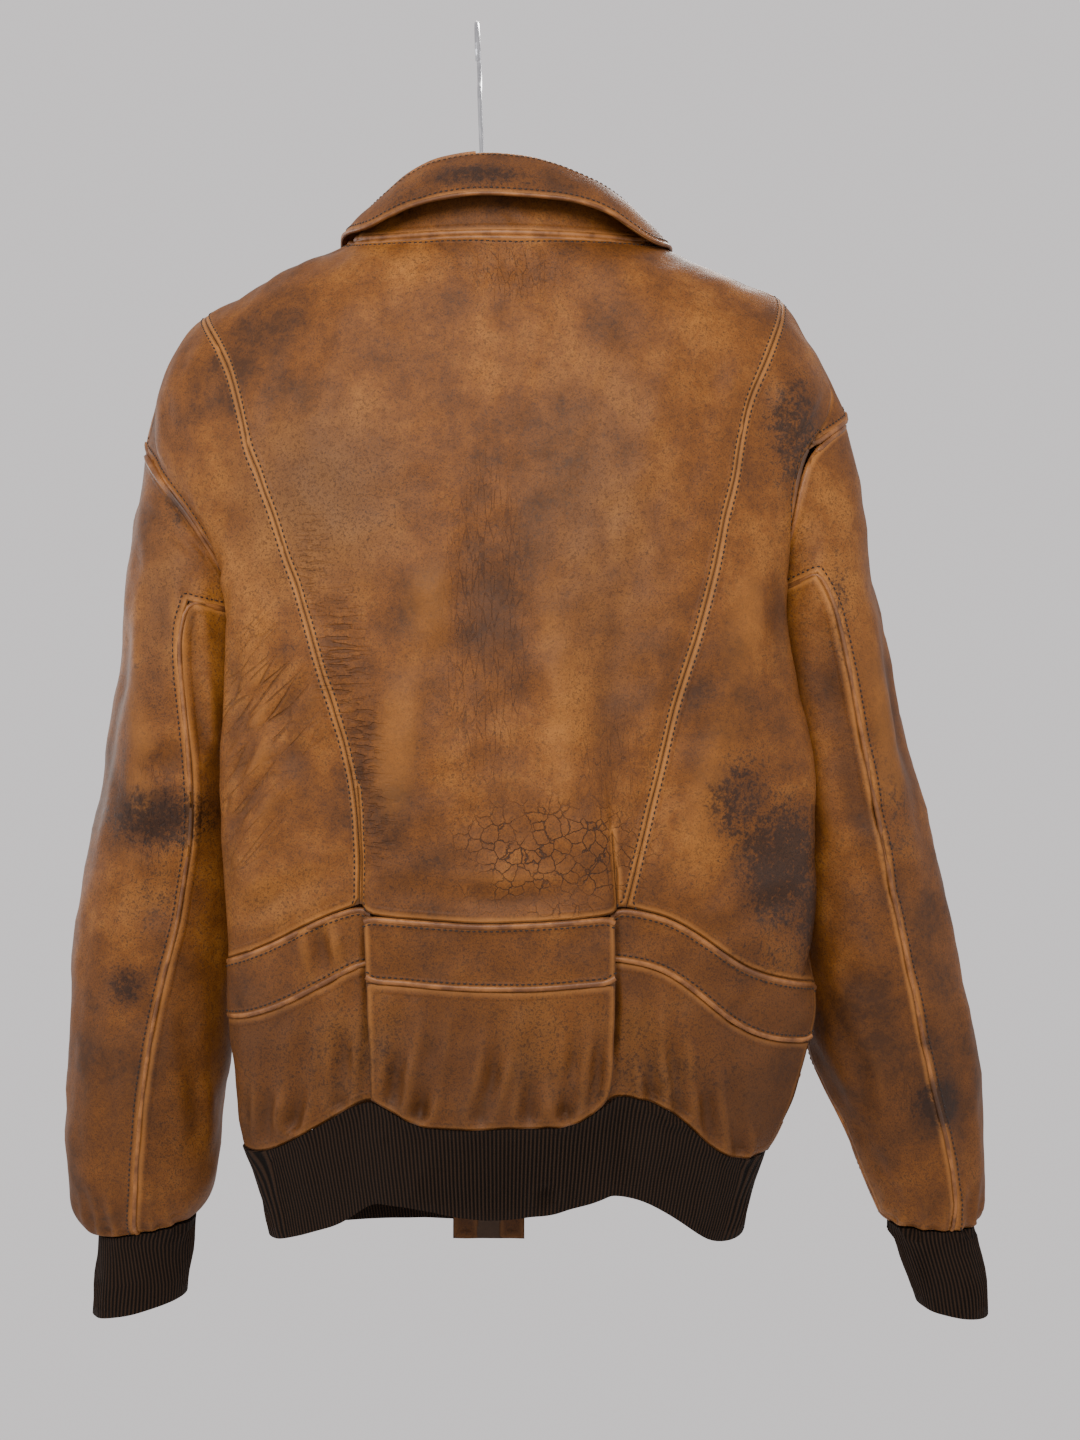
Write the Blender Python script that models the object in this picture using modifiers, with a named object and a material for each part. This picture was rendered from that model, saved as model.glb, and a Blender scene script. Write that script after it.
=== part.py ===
"""A worn leather flight jacket, closed at the front, hanging on a hanger.

Metres, +Z up. The origin is the inside top of the hanger's hook. The jacket's back faces -Y,
its closed front faces +Y, and "left" and "right" are those of somebody looking at the back.
Every cloth piece is a patch of one of three surfaces: the body, a sleeve, or the collar.
"""

import math

import bmesh
import bpy
import numpy as np
from mathutils import Matrix, Vector

LEATHER = 0.0018          # wall of the leather panels
RIB = 0.0028              # wall of the knitted waistband and cuffs
SEAM = 0.0003             # gap between two pieces at a seam
WIRE = 0.00175            # radius of the hook's wire
BAR = 0.0075              # radius of the hanger's shoulder bar

# The body at each height: outer edges, how far back and front stand from the hanger's plane,
# and how far the sleeve presses the sides in, as a share of the half width.
BODY = [
    # height  left     right    back    front   tuck
    (-0.1600, -0.0880, 0.1220, 0.0560, 0.0500, 0.00),
    (-0.1800, -0.1256, 0.1670, 0.0640, 0.0560, 0.00),
    (-0.2073, -0.1765, 0.2313, 0.0720, 0.0620, 0.00),
    (-0.2210, -0.2025, 0.2425, 0.0750, 0.0660, 0.00),
    (-0.2380, -0.2200, 0.2535, 0.0780, 0.0700, 0.00),
    (-0.2570, -0.2310, 0.2620, 0.0810, 0.0740, 0.00),
    (-0.2780, -0.2400, 0.2720, 0.0840, 0.0780, 0.00),
    (-0.3000, -0.2450, 0.2825, 0.0860, 0.0820, 0.00),
    (-0.3230, -0.2520, 0.2600, 0.0880, 0.0850, 0.00),
    (-0.3400, -0.2400, 0.2460, 0.0890, 0.0870, 0.03),
    (-0.3600, -0.2220, 0.2350, 0.0900, 0.0890, 0.07),
    (-0.3850, -0.2000, 0.2315, 0.0910, 0.0910, 0.13),
    (-0.4100, -0.1930, 0.2330, 0.0920, 0.0930, 0.18),
    (-0.4600, -0.1900, 0.2370, 0.0930, 0.0970, 0.22),
    (-0.5160, -0.1890, 0.2460, 0.0940, 0.1010, 0.23),
    (-0.5700, -0.1920, 0.2570, 0.0950, 0.1040, 0.23),
    (-0.6480, -0.1890, 0.2594, 0.0950, 0.1070, 0.22),
    (-0.6980, -0.1890, 0.2545, 0.0930, 0.1080, 0.20),
    (-0.7620, -0.1840, 0.2450, 0.0900, 0.1070, 0.17),
    (-0.8110, -0.1760, 0.2320, 0.0870, 0.1040, 0.13),
    (-0.8420, -0.1670, 0.2165, 0.0850, 0.1000, 0.08),
    (-0.8800, -0.1550, 0.2030, 0.0810, 0.0940, 0.04),
    (-0.9700, -0.1450, 0.1920, 0.0760, 0.0870, 0.00),
]
BODY_SQUARENESS = 2.9     # 2 would make each level an ellipse
TUCK_FROM = -0.0540       # the pressed part's start behind the back's fold edge, in Y
TUCK_OVER = 0.0360        # and the width over which it reaches its full depth
RIDGE_DROP = 0.060        # height over which the body rounds over the hanger
NECK_PEAK = (0.020, -0.125)   # where the two shoulder lines would meet, in X and Z
ARMHOLE_TOP = {"left": -0.3230, "right": -0.3000}

# The armhole below its top, as height and angle round the body from the centre back.
# The front armhole mirrors it.
ARMHOLE = {
    "left": [(-0.3230, 90), (-0.3255, 80), (-0.3320, 70), (-0.3470, 64), (-0.3660, 61),
             (-0.3850, 62), (-0.4100, 66), (-0.4450, 74), (-0.4800, 90)],
    "right": [(-0.3000, 90), (-0.3030, 79), (-0.3130, 68), (-0.3290, 62), (-0.3450, 60),
              (-0.3640, 61), (-0.4000, 66), (-0.4350, 74), (-0.4700, 90)],
}
# The side seams below the underarm, as height and angle.
SIDE_SEAM = {
    "left": [(-0.4800, 90), (-0.6000, 84), (-0.7100, 76), (-0.8450, 72), (-0.9500, 72)],
    "right": [(-0.4700, 90), (-0.6000, 80), (-0.7200, 64), (-0.8450, 60), (-0.9500, 60)],
}

# Seams of the action back, from the shoulder tip to the belt: height and X.
BACK_SEAM = {
    "left": [(-0.2210, -0.2025), (-0.2580, -0.1840), (-0.3050, -0.1650), (-0.3540, -0.1500),
             (-0.4000, -0.1362), (-0.4500, -0.1186), (-0.4880, -0.1062), (-0.5310, -0.0945),
             (-0.5710, -0.0845), (-0.6010, -0.0805), (-0.6600, -0.0800)],
    "right": [(-0.2073, 0.2313), (-0.2560, 0.2175), (-0.2960, 0.2050), (-0.3350, 0.1930),
              (-0.3850, 0.1800), (-0.4430, 0.1670), (-0.5080, 0.1460), (-0.5450, 0.1370),
              (-0.5850, 0.1282), (-0.6150, 0.1195), (-0.6600, 0.1090)],
}
# Fold edges of the two action pleats: height and X. The centre stands proud between them.
PLEAT = {
    "left": [(-0.3800, -0.0530), (-0.4150, -0.0570), (-0.5450, -0.0685), (-0.6550, -0.0740),
             (-0.7060, -0.0735), (-0.7940, -0.0707), (-0.9300, -0.0700)],
    "right": [(-0.3800, 0.0700), (-0.4150, 0.0734), (-0.5450, 0.0890), (-0.6310, 0.0967),
              (-0.6650, 0.0996), (-0.7100, 0.0996), (-0.7880, 0.0974), (-0.9300, 0.0960)],
}
# How far the centre stands proud, and over what width each fold edge drops.
PLEAT_LIFT = [
    # height  lift    left    right
    (-0.3800, 0.0000, 0.060, 0.060),
    (-0.4600, 0.0030, 0.050, 0.045),
    (-0.5400, 0.0065, 0.034, 0.020),
    (-0.6000, 0.0085, 0.012, 0.006),
    (-0.6600, 0.0095, 0.006, 0.004),
    (-0.7200, 0.0090, 0.006, 0.004),
    (-0.8000, 0.0070, 0.008, 0.006),
    (-0.8600, 0.0050, 0.016, 0.012),
    (-0.9400, 0.0040, 0.020, 0.016),
]

# The neckline, where the collar is sewn on: X and height.
NECK_BACK = [(-0.0960, -0.1642), (-0.0952, -0.1660), (-0.0890, -0.1725), (-0.0720, -0.1768),
             (-0.0300, -0.1780), (0.0200, -0.1780), (0.0750, -0.1782), (0.1130, -0.1775),
             (0.1270, -0.1745), (0.1330, -0.1686), (0.1340, -0.1664)]
NECK_FRONT = [(-0.0960, -0.1642), (-0.0950, -0.1675), (-0.0900, -0.1850), (-0.0680, -0.2150),
              (-0.0350, -0.2380), (0.0060, -0.2450), (0.0500, -0.2400), (0.0930, -0.2180),
              (0.1240, -0.1880), (0.1328, -0.1700), (0.1340, -0.1664)]
NECK_LOW = -0.2450        # the neckline's height at the zip

# The half belt's seams: X and height, in the three lengths between side seams and pleats.
BELT_TOP = {
    "left": [(-0.1893, -0.7042), (-0.1694, -0.6982), (-0.1475, -0.6894), (-0.1154, -0.6723),
             (-0.0942, -0.6610), (-0.0785, -0.6580), (-0.0700, -0.6665)],
    "centre": [(-0.0745, -0.6645), (0.0060, -0.6700), (0.0991, -0.6645)],
    "right": [(0.0940, -0.6690), (0.1040, -0.6597), (0.1186, -0.6600), (0.1377, -0.6650), (0.1568, -0.6749),
              (0.1724, -0.6890), (0.1859, -0.7000), (0.2060, -0.7096), (0.2508, -0.7200)],
}
BELT_BOTTOM = {
    "left": [(-0.1864, -0.7452), (-0.1694, -0.7440), (-0.1256, -0.7278), (-0.1042, -0.7150),
             (-0.0950, -0.7060), (-0.0700, -0.7005)],
    "centre": [(-0.0745, -0.7121), (0.0228, -0.7177), (0.0991, -0.7121)],
    "right": [(0.0880, -0.6970), (0.1186, -0.6989), (0.1377, -0.7046), (0.1525, -0.7152),
              (0.1667, -0.7300), (0.1802, -0.7420), (0.2153, -0.7589), (0.2436, -0.7631)],
}
# The leather's lower edge at the back, where the gathers end in the waistband: X and height.
HEM_BACK = [(-0.1587, -0.8416), (-0.1017, -0.8131), (-0.0710, -0.7960),
            (-0.0518, -0.8060), (-0.0197, -0.8160), (0.0131, -0.8150), (0.0566, -0.8145),
            (0.0893, -0.8030), (0.1015, -0.7930), (0.1235, -0.7967), (0.1421, -0.8050),
            (0.1635, -0.8280), (0.1920, -0.8460)]
RIB_BACK = [(-0.1480, -0.9090), (-0.1166, -0.8970), (-0.0853, -0.8840),
            (-0.0696, -0.8700), (-0.0382, -0.8737), (0.0152, -0.8820), (0.0437, -0.8787),
            (0.0737, -0.8722), (0.1057, -0.8630), (0.1193, -0.8690), (0.1364, -0.8790),
            (0.1535, -0.8915), (0.1670, -0.9040), (0.1806, -0.9080)]
# The same two edges across the hidden front, lower at the zip: X and height.
HEM_FRONT = [(-0.1720, -0.8400), (-0.1300, -0.8600), (-0.0500, -0.8740), (0.0060, -0.8780),
             (0.0700, -0.8600), (0.1500, -0.8480), (0.2150, -0.8410)]
RIB_FRONT = [(-0.1600, -0.9060), (-0.1100, -0.9330), (-0.0500, -0.9350), (0.0060, -0.9380),
             (0.0500, -0.9250), (0.1000, -0.9150), (0.2000, -0.9010)]
TAB_DROP = 0.014          # how far the leather tabs hang below the waistband
TAB_WIDTH = 0.020
ZIP_HALF = 0.0080         # half the width of the closed zip
ZIP_X = 0.0060            # the zip's line down the front

# Sleeve sections below the armhole: outer and inner edge in X and Z, middle and half depth in Y.
SLEEVE = {
    "left": [
        # out x   out z    in x     in z     mid y   half y
        (-0.2590, -0.3600, -0.1745, -0.5000, 0.0180, 0.0640),
        (-0.2660, -0.4050, -0.1735, -0.5250, 0.0250, 0.0690),
        (-0.2740, -0.4550, -0.1750, -0.5550, 0.0290, 0.0720),
        (-0.2820, -0.5120, -0.1770, -0.5900, 0.0300, 0.0730),
        (-0.2915, -0.5850, -0.1800, -0.6350, 0.0290, 0.0720),
        (-0.3010, -0.6410, -0.1840, -0.6800, 0.0260, 0.0690),
        (-0.3100, -0.6950, -0.1885, -0.7250, 0.0220, 0.0650),
        (-0.3145, -0.7510, -0.1930, -0.7700, 0.0180, 0.0610),
        (-0.3160, -0.8030, -0.1965, -0.8130, 0.0140, 0.0560),
        (-0.3158, -0.8500, -0.1990, -0.8530, 0.0120, 0.0500),
        (-0.3140, -0.8850, -0.2020, -0.8820, 0.0110, 0.0440),
        (-0.3105, -0.9060, -0.2085, -0.8970, 0.0100, 0.0380),
        (-0.2980, -0.9175, -0.2170, -0.9055, 0.0100, 0.0325),
        (-0.2900, -0.9188, -0.2195, -0.9068, 0.0100, 0.0275),
    ],
    "right": [
        (0.2890, -0.3350, 0.2210, -0.4900, 0.0180, 0.0640),
        (0.2970, -0.3750, 0.2215, -0.5120, 0.0250, 0.0690),
        (0.3080, -0.4300, 0.2240, -0.5380, 0.0290, 0.0720),
        (0.3200, -0.4890, 0.2290, -0.5700, 0.0300, 0.0730),
        (0.3335, -0.5500, 0.2340, -0.6080, 0.0290, 0.0720),
        (0.3480, -0.6190, 0.2385, -0.6550, 0.0260, 0.0690),
        (0.3630, -0.6890, 0.2420, -0.7050, 0.0220, 0.0650),
        (0.3765, -0.7430, 0.2470, -0.7520, 0.0180, 0.0610),
        (0.3845, -0.7920, 0.2570, -0.7930, 0.0140, 0.0560),
        (0.3892, -0.8370, 0.2800, -0.8310, 0.0120, 0.0500),
        (0.3905, -0.8750, 0.2960, -0.8680, 0.0110, 0.0440),
        (0.3900, -0.8970, 0.3060, -0.8940, 0.0100, 0.0380),
        (0.3820, -0.9105, 0.3160, -0.9075, 0.0100, 0.0325),
        (0.3780, -0.9113, 0.3195, -0.9083, 0.0100, 0.0275),
    ],
}
SLEEVE_SQUARENESS = 2.3
CUFF = {
    "left": [(-0.2900, -0.9214, -0.2195, -0.9094, 0.0100, 0.0275),
             (-0.2905, -0.9500, -0.2235, -0.9360, 0.0100, 0.0290),
             (-0.2925, -0.9820, -0.2270, -0.9665, 0.0100, 0.0280)],
    "right": [(0.3780, -0.9140, 0.3195, -0.9110, 0.0100, 0.0275),
              (0.3825, -0.9460, 0.3290, -0.9400, 0.0100, 0.0290),
              (0.3865, -0.9815, 0.3380, -0.9725, 0.0100, 0.0280)],
}
# The sleeve's two seams: place along the sleeve, and angle from the outer edge round the back
# and round the front. Both start the same way down the armhole.
SLEEVE_SEAM = {
    "left": [
        # place back front
        (0.0, 128.6, 128.6), (0.6, 111, 131), (1.0, 99, 135), (2.0, 92, 138), (3.0, 102, 140),
        (4.0, 113, 142), (5.0, 120, 144), (6.0, 116, 146), (7.0, 109, 148), (9.0, 100, 150),
        (14.0, 93, 152),
    ],
    "right": [
        (0.0, 128.6, 128.6), (0.6, 108, 132), (1.0, 96, 138), (2.2, 84, 144), (4.0, 83, 152),
        (6.0, 81, 160), (8.0, 76, 172), (9.0, 76, 180), (10.0, 76, 188), (14.0, 75, 194),
    ],
}
SLEEVE_PLACES = [0.012, 0.35, 1, 2, 3.2, 4.6, 6, 7.4, 8.8, 10.2, 11.5, 12.5, 13.2, 14]
SIDE_GAP = 0.0015         # the front's edge keeps this off the side seam and the armhole
ARMHOLE_PARTS = 7         # stretches of half an armhole, shared by the body and the sleeve
SEAM_PART = 5             # the one after which the sleeve's seam starts
# The sleeve's start inside the armhole's edge, and how far it stands off the body there, at
# shares of the way down the armhole.
ARMHOLE_CLEAR = [(0.0, 0.0012), (0.2, 0.0018), (0.35, 0.0020), (0.5, 0.0012), (1.0, 0.0010)]
ARMHOLE_OFF = [(0.0, 0.0000), (0.15, 0.0006), (0.35, 0.0026), (0.5, 0.0055), (0.66, 0.0125),
               (0.82, 0.0110), (1.0, 0.0050)]

# The collar behind the neck, from the left shoulder to the right: station, then the fold at its
# top and the fall's free edge. The seam below is the neckline's.
COLLAR_BACK = [
    # station  fold x   fold y   fold z   edge x   edge y   edge z
    (0.30, -0.0800, -0.0050, -0.1530, -0.1040, 0.0000, -0.1605),
    (0.37, -0.0640, -0.0330, -0.1400, -0.0790, -0.0490, -0.1690),
    (0.44, -0.0260, -0.0480, -0.1200, -0.0400, -0.0720, -0.1585),
    (0.50, 0.0080, -0.0530, -0.1165, 0.0060, -0.0790, -0.1535),
    (0.56, 0.0400, -0.0520, -0.1185, 0.0600, -0.0770, -0.1560),
    (0.63, 0.0900, -0.0390, -0.1350, 0.1020, -0.0670, -0.1650),
    (0.665, 0.1080, -0.0230, -0.1430, 0.1300, -0.0470, -0.1810),
    (0.70, 0.1200, -0.0050, -0.1530, 0.1500, 0.0000, -0.1670),
]
# The collar on each front, from the zip to the shoulder: share of the front neckline, the
# free edge's X and height on the chest, and the fold's rise above the seam.
COLLAR_FRONT = {
    "left": [(0.0, -0.0500, -0.3000, 0.0140), (0.33, -0.0880, -0.2620, 0.0150),
             (0.66, -0.1080, -0.2120, 0.0150)],
    "right": [(0.0, 0.0620, -0.3000, 0.0140), (0.33, 0.1130, -0.2620, 0.0150),
              (0.66, 0.1480, -0.2100, 0.0150)],
}
COLLAR_LEAN = 0.35        # how far the front's fold leans in, as a share of its rise
COLLAR_OFF = 0.0075       # how far the free edge stands off the chest
COLLAR_COLUMNS = 40
COLLAR_SEAM = 0.0024      # gap over the neckline
FOLD_DEPTH = 0.0030       # the stand's top seam lies this far under the fold
# The fold's roll over the stand: rise above the fold line and distance out from the stand.
FOLD_ROLL = [(-0.0006, 0.0019), (0.0002, 0.0029), (-0.0006, 0.0042)]
COLLAR_BOW = 0.0030       # how far the fall bows out between the fold and its free edge

HOOK_FOOT_X = 0.0050      # the hook leans a little from its foot to its crown
HOOK_INSIDE = 0.0200      # inner radius of the hook
HOOK_OPENING = -35        # where the open end stops, in degrees above the level
HANGER_ENDS = (-0.1950, 0.2220)
HANGER_SINK = 1.12        # depth of the bar's middle under the shoulder seam, in bar radii
HANGER_DIP = 0.0030       # the bar lies this much lower where it crosses the neck
DIP_FROM, DIP_TO, DIP_OVER = -0.1130, 0.1520, 0.0200

SLIDER_HEIGHT = -0.2780
SLIDER = (0.0110, 0.0046, 0.0120)     # width, thickness, height
PULL_LENGTH = 0.0300
PULL_WIDTH = 0.0088
PULL_THICK = 0.0016
KNUCKLE = 0.0021          # outer radius of the pull's eye
PIN = 0.0008              # radius of the slider's pin
PIN_PLAY = 0.0003
PIN_UP = 0.0020           # the pin's height above the slider's middle
EAR = 0.0012              # thickness of the two ears that hold the pin
EAR_REACH = 0.0026        # half their height
TAPE = 0.0014
TOOTH_GAP = 0.0003

COLOURS = {
    # name: colour (linear), roughness, metallic
    "leather": ((0.30, 0.130, 0.045), 0.55, 0.0),
    "rib_knit": ((0.040, 0.024, 0.014), 0.90, 0.0),
    "zip_tape": ((0.050, 0.032, 0.020), 0.85, 0.0),
    "zip_metal": ((0.45, 0.33, 0.16), 0.35, 1.0),
    "hanger_bar": ((0.10, 0.055, 0.030), 0.45, 0.0),
    "hook_steel": ((0.55, 0.56, 0.58), 0.25, 1.0),
}


# ---- Curves through the tables -------------------------------------------------------------

def column(table, number):
    return np.array([row[number] for row in table], float)


def curve(keys, values, at):
    """A smooth curve through the given points that never overshoots them."""
    order = np.argsort(keys)
    keys, values = np.asarray(keys, float)[order], np.asarray(values, float)[order]
    steps = np.diff(keys)
    rise = np.diff(values) / steps
    slope = np.zeros(len(keys))
    slope[0], slope[-1] = rise[0], rise[-1]
    same = rise[:-1] * rise[1:] > 0
    mean = 2 * rise[:-1] * rise[1:] / np.where(same, rise[:-1] + rise[1:], 1)
    slope[1:-1] = np.where(same, mean, 0)
    at = np.clip(at, keys[0], keys[-1])
    i = np.clip(np.searchsorted(keys, at) - 1, 0, len(steps) - 1)
    t = (at - keys[i]) / steps[i]
    return (values[i] * (1 + 2 * t) * (1 - t) ** 2 + slope[i] * steps[i] * t * (1 - t) ** 2
            + values[i + 1] * t * t * (3 - 2 * t) + slope[i + 1] * steps[i] * t * t * (t - 1))


def across(table, at):
    """The second column of a two-column table at a value of the first."""
    return curve(column(table, 0), column(table, 1), at)


def ease(t):
    t = np.clip(t, 0, 1)
    return t * t * (3 - 2 * t)


# ---- The body's surface ---------------------------------------------------------------------

HEIGHTS = column(BODY, 0)
RING_ANGLES = np.radians(np.linspace(-180, 180, 289))


def shoulder_line(x):
    """Height of the ridge over the hanger at X, rising to a point above the open neck."""
    peak_x, peak_z = NECK_PEAK
    left = [row for row in BODY if row[0] >= ARMHOLE_TOP["left"]]
    right = [row for row in BODY if row[0] >= ARMHOLE_TOP["right"]]
    xs = np.concatenate([column(left, 1)[::-1], [peak_x], column(right, 2)])
    zs = np.concatenate([column(left, 0)[::-1], [peak_z], column(right, 0)])
    return np.interp(x, xs, zs)


def ring(z):
    """The body's outline at one height: angle, X, Y, and the way along it from the centre back."""
    left, right, back, front, tuck = (curve(HEIGHTS, column(BODY, i), z) for i in range(1, 6))
    s, c = np.sin(RING_ANGLES), np.cos(RING_ANGLES)
    n = BODY_SQUARENESS
    reach = (np.abs(s) ** n + np.abs(c) ** n) ** (-1 / n)
    y = -reach * c * np.where(c > 0, back, front)
    wide = reach * s * (1 - tuck * ease((y - TUCK_FROM) / TUCK_OVER))
    wide /= wide.max()
    middle = (left + right) / 2
    x = middle + wide * (right - left) / 2
    drop = np.clip((shoulder_line(x) - z) / RIDGE_DROP, 0, 1)
    y = y * np.sqrt(1 - (1 - drop) ** 2)
    along = np.concatenate([[0], np.cumsum(np.hypot(np.diff(x), np.diff(y)))])
    return RING_ANGLES, x, y, along - along[len(along) // 2]


def half_way(z):
    """Half the way round the body at a height: centre back to centre front, left and right."""
    along = ring(z)[3]
    return -along[0], along[-1]


def way_at_angle(z, degrees):
    angles, _, _, along = ring(z)
    return float(np.interp(math.radians(degrees), angles, along))


def pleat_lift(x, z):
    lift, left, right = (curve(column(PLEAT_LIFT, 0), column(PLEAT_LIFT, i), z)
                         for i in (1, 2, 3))
    from_left = (x - across(PLEAT["left"], z)) / left
    to_right = (across(PLEAT["right"], z) - x) / right
    return lift * ease(from_left + 0.5) * ease(to_right + 0.5)


def body_point(way, z, out=0.0, pleat=None):
    """A point of the body at a way round it and a height, moved out from it.

    pleat is None where the cloth follows the pleats, or the share of their lift it has.
    """
    _, xs, ys, along = ring(z)
    total = along[-1] - along[0]
    way = (way - along[0]) % total + along[0]
    x, y = np.interp(way, along, xs), np.interp(way, along, ys)
    ahead = (way + 0.002 - along[0]) % total + along[0]
    behind = (way - 0.002 - along[0]) % total + along[0]
    tx = np.interp(ahead, along, xs) - np.interp(behind, along, xs)
    ty = np.interp(ahead, along, ys) - np.interp(behind, along, ys)
    size = math.hypot(tx, ty) or 1.0
    if y < 0.0:
        share = pleat_lift(x, z)
        if pleat is not None:
            share = pleat * curve(column(PLEAT_LIFT, 0), column(PLEAT_LIFT, 1), z)
        out += share
    return x + out * ty / size, y - out * tx / size, z


# ---- Objects ----------------------------------------------------------------------------------

def clear_scene():
    for thing in list(bpy.data.objects):
        bpy.data.objects.remove(thing, do_unlink=True)


def new_collection(name):
    made = bpy.data.collections.new(name)
    bpy.context.scene.collection.children.link(made)
    return made


def new_material(name):
    colour, roughness, metallic = COLOURS[name]
    made = bpy.data.materials.new(name)
    made.use_nodes = True
    shader = made.node_tree.nodes["Principled BSDF"]
    shader.inputs["Base Color"].default_value = (*colour, 1.0)
    shader.inputs["Roughness"].default_value = roughness
    shader.inputs["Metallic"].default_value = metallic
    made.diffuse_color = (*colour, 1.0)
    return made


def place(name, bm, material):
    """A new object from a bmesh, with its own copy of the material."""
    mesh = bpy.data.meshes.new(name)
    bm.to_mesh(mesh)
    bm.free()
    mesh.shade_smooth()
    mesh.materials.append(new_material(material))
    made = bpy.data.objects.new(name, mesh)
    jacket.objects.link(made)
    return made


def cloth(name, points, material="leather", wall=LEATHER, joined=False):
    """A sheet through a grid of points, rows of columns from its top, with its wall outwards.

    joined closes each row on itself, as on a cuff.
    """
    rows, columns = len(points), len(points[0])
    bm = bmesh.new()
    bmesh.ops.create_grid(bm, x_segments=columns - 1, y_segments=rows - 1, size=1)
    bm.verts.ensure_lookup_table()
    flat = [point for row in reversed(points) for point in row]
    for vertex, point in zip(bm.verts, flat):
        vertex.co = point
    if joined:
        bmesh.ops.remove_doubles(bm, verts=bm.verts, dist=1e-5)
    made = place(name, bm, material)
    solidify = made.modifiers.new("wall", "SOLIDIFY")
    solidify.thickness = wall
    solidify.offset = 1.0
    solidify.use_even_offset = False
    return made


def shares(count):
    return np.linspace(0, 1, count + 1)


def panel(name, guides, counts, rows, top, bottom, out=0.0, pleat=None, front=False,
          material="leather", wall=LEATHER):
    """A piece of the body's surface between guide lines, each a function of height.

    counts are the columns between one guide and the next, and rows the shares of the way down
    at the first guide and at the last. top and bottom give the height of the piece's ends at a
    way round the body. Ways are counted from the centre back, or from the centre front on a
    front piece.
    """
    spots = [(k, f) for k, count in enumerate(counts) for f in shares(count)[:-1]]
    spots.append((len(counts) - 1, 1.0))

    def way_at(k, f, z):
        return (1 - f) * guides[k](z) + f * guides[k + 1](z)

    def end_of(line, k, f):
        z = -0.5
        for _ in range(16):
            z = 0.4 * z + 0.6 * line(way_at(k, f, z), z)
        return z
    ends = [(end_of(top, k, f), end_of(bottom, k, f)) for k, f in spots]
    first, last = rows
    grid = []
    for at_first, at_last in zip(first, last):
        line = []
        for number, (k, f) in enumerate(spots):
            turn = number / (len(spots) - 1)
            share = (1 - turn) * at_first + turn * at_last
            z = (1 - share) * ends[number][0] + share * ends[number][1]
            way = way_at(k, f, z)
            from_back = half_way(z)[1] - way if front else way
            line.append(body_point(from_back, z, out, pleat))
        grid.append(line)
    return cloth(name, grid, material, wall)


def even(count):
    """Row shares for a piece whose rows are evenly spread."""
    return shares(count), shares(count)


def back_at_angle(z, degrees):
    return way_at_angle(z, degrees)


def front_at_angle(z, degrees):
    """The way from the centre front, positive on +X's side, to an angle from the centre back."""
    left, right = half_way(z)
    way = way_at_angle(z, degrees)
    return right - way if degrees > 0 else -(left + way)


def back_at_x(z, x):
    _, xs, _, along = ring(z)
    lowest, highest = int(np.argmin(xs)), int(np.argmax(xs)) + 1
    return float(np.interp(x, xs[lowest:highest], along[lowest:highest]))


def front_at_x(z, x):
    _, xs, _, along = ring(z)
    lowest, highest = int(np.argmin(xs)), int(np.argmax(xs))
    left = -(along[lowest::-1] - along[0])
    right = along[-1] - along[:highest - 1:-1]
    return float(np.interp(x, np.concatenate([xs[lowest::-1], xs[:highest - 1:-1]]),
                           np.concatenate([left, right])))


def guide(rows, way_of, sign=1):
    """A height-to-way function through rows of height and place."""
    heights = [row[0] for row in rows]
    ways = [way_of(row[0], sign * row[1]) for row in rows]
    return lambda z: float(curve(heights, ways, z))


def edge(rows, way_of, ends=()):
    """A way-to-height function through rows of X and height, and through ready (way, height)."""
    ready = [(way_of(z, x), z) for x, z in rows] + list(ends)
    return lambda way, near=0: float(curve([r[0] for r in ready], [r[1] for r in ready], way))


def shifted(line, by):
    return lambda *at: line(*at) + by


# ---- Lines shared by the body's pieces ----------------------------------------------------------

SIDE_SIGN = {"left": -1, "right": 1}
SHOULDER_TIP = {"left": -0.2210, "right": -0.2073}
NECK_SIDE = {"left": -0.1642, "right": -0.1664}


def ridge(side, way_of, low, high, count=7):
    """Ready (way, height) pairs down one shoulder's ridge."""
    return [(way_of(z, 90 * SIDE_SIGN[side]), z) for z in np.linspace(low, high, count)]


def side_line(side):
    """The back's half of the armhole, then the side seam, as one guide."""
    return guide(ARMHOLE[side] + SIDE_SEAM[side][1:], back_at_angle, SIDE_SIGN[side])


def front_line(side):
    """The front's half of the armhole, then the same side seam, from the centre front."""
    hole = guide([(z, 180 - angle) for z, angle in ARMHOLE[side]], front_at_angle,
                 SIDE_SIGN[side])
    under = ARMHOLE[side][-1][0]

    def at(z):
        if z > under:
            return hole(z)
        left, right = half_way(z)
        way = back_side[side](z)
        return right - way if side == "right" else -(left + way)
    return at


def all_round(back_rows, front_rows):
    """A height all the way round the body, from X and height across its back and its front."""
    ready = []
    for x, z in back_rows:
        once = sum(half_way(z))
        ready += [(back_at_x(z, x) + turn * once, z) for turn in (-1, 0, 1)]
    for x, z in front_rows:
        left, right = half_way(z)
        ready += [(right - front_at_x(z, x), z), (-left - front_at_x(z, x), z)]
    return lambda way, near=0: float(curve([r[0] for r in ready], [r[1] for r in ready], way))


clear_scene()
jacket = new_collection("leather_jacket_on_hanger")

seam = {side: guide(BACK_SEAM[side], back_at_x) for side in ("left", "right")}
fold = {side: guide(PLEAT[side], back_at_x) for side in ("left", "right")}
back_side = {side: side_line(side) for side in ("left", "right")}
front_side = {side: front_line(side) for side in ("left", "right")}
belt_top = {part: edge(rows, back_at_x) for part, rows in BELT_TOP.items()}
belt_bottom = {part: edge(rows, back_at_x) for part, rows in BELT_BOTTOM.items()}
hem = all_round(HEM_BACK, HEM_FRONT)
rib_end = all_round(RIB_BACK, RIB_FRONT)


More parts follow.
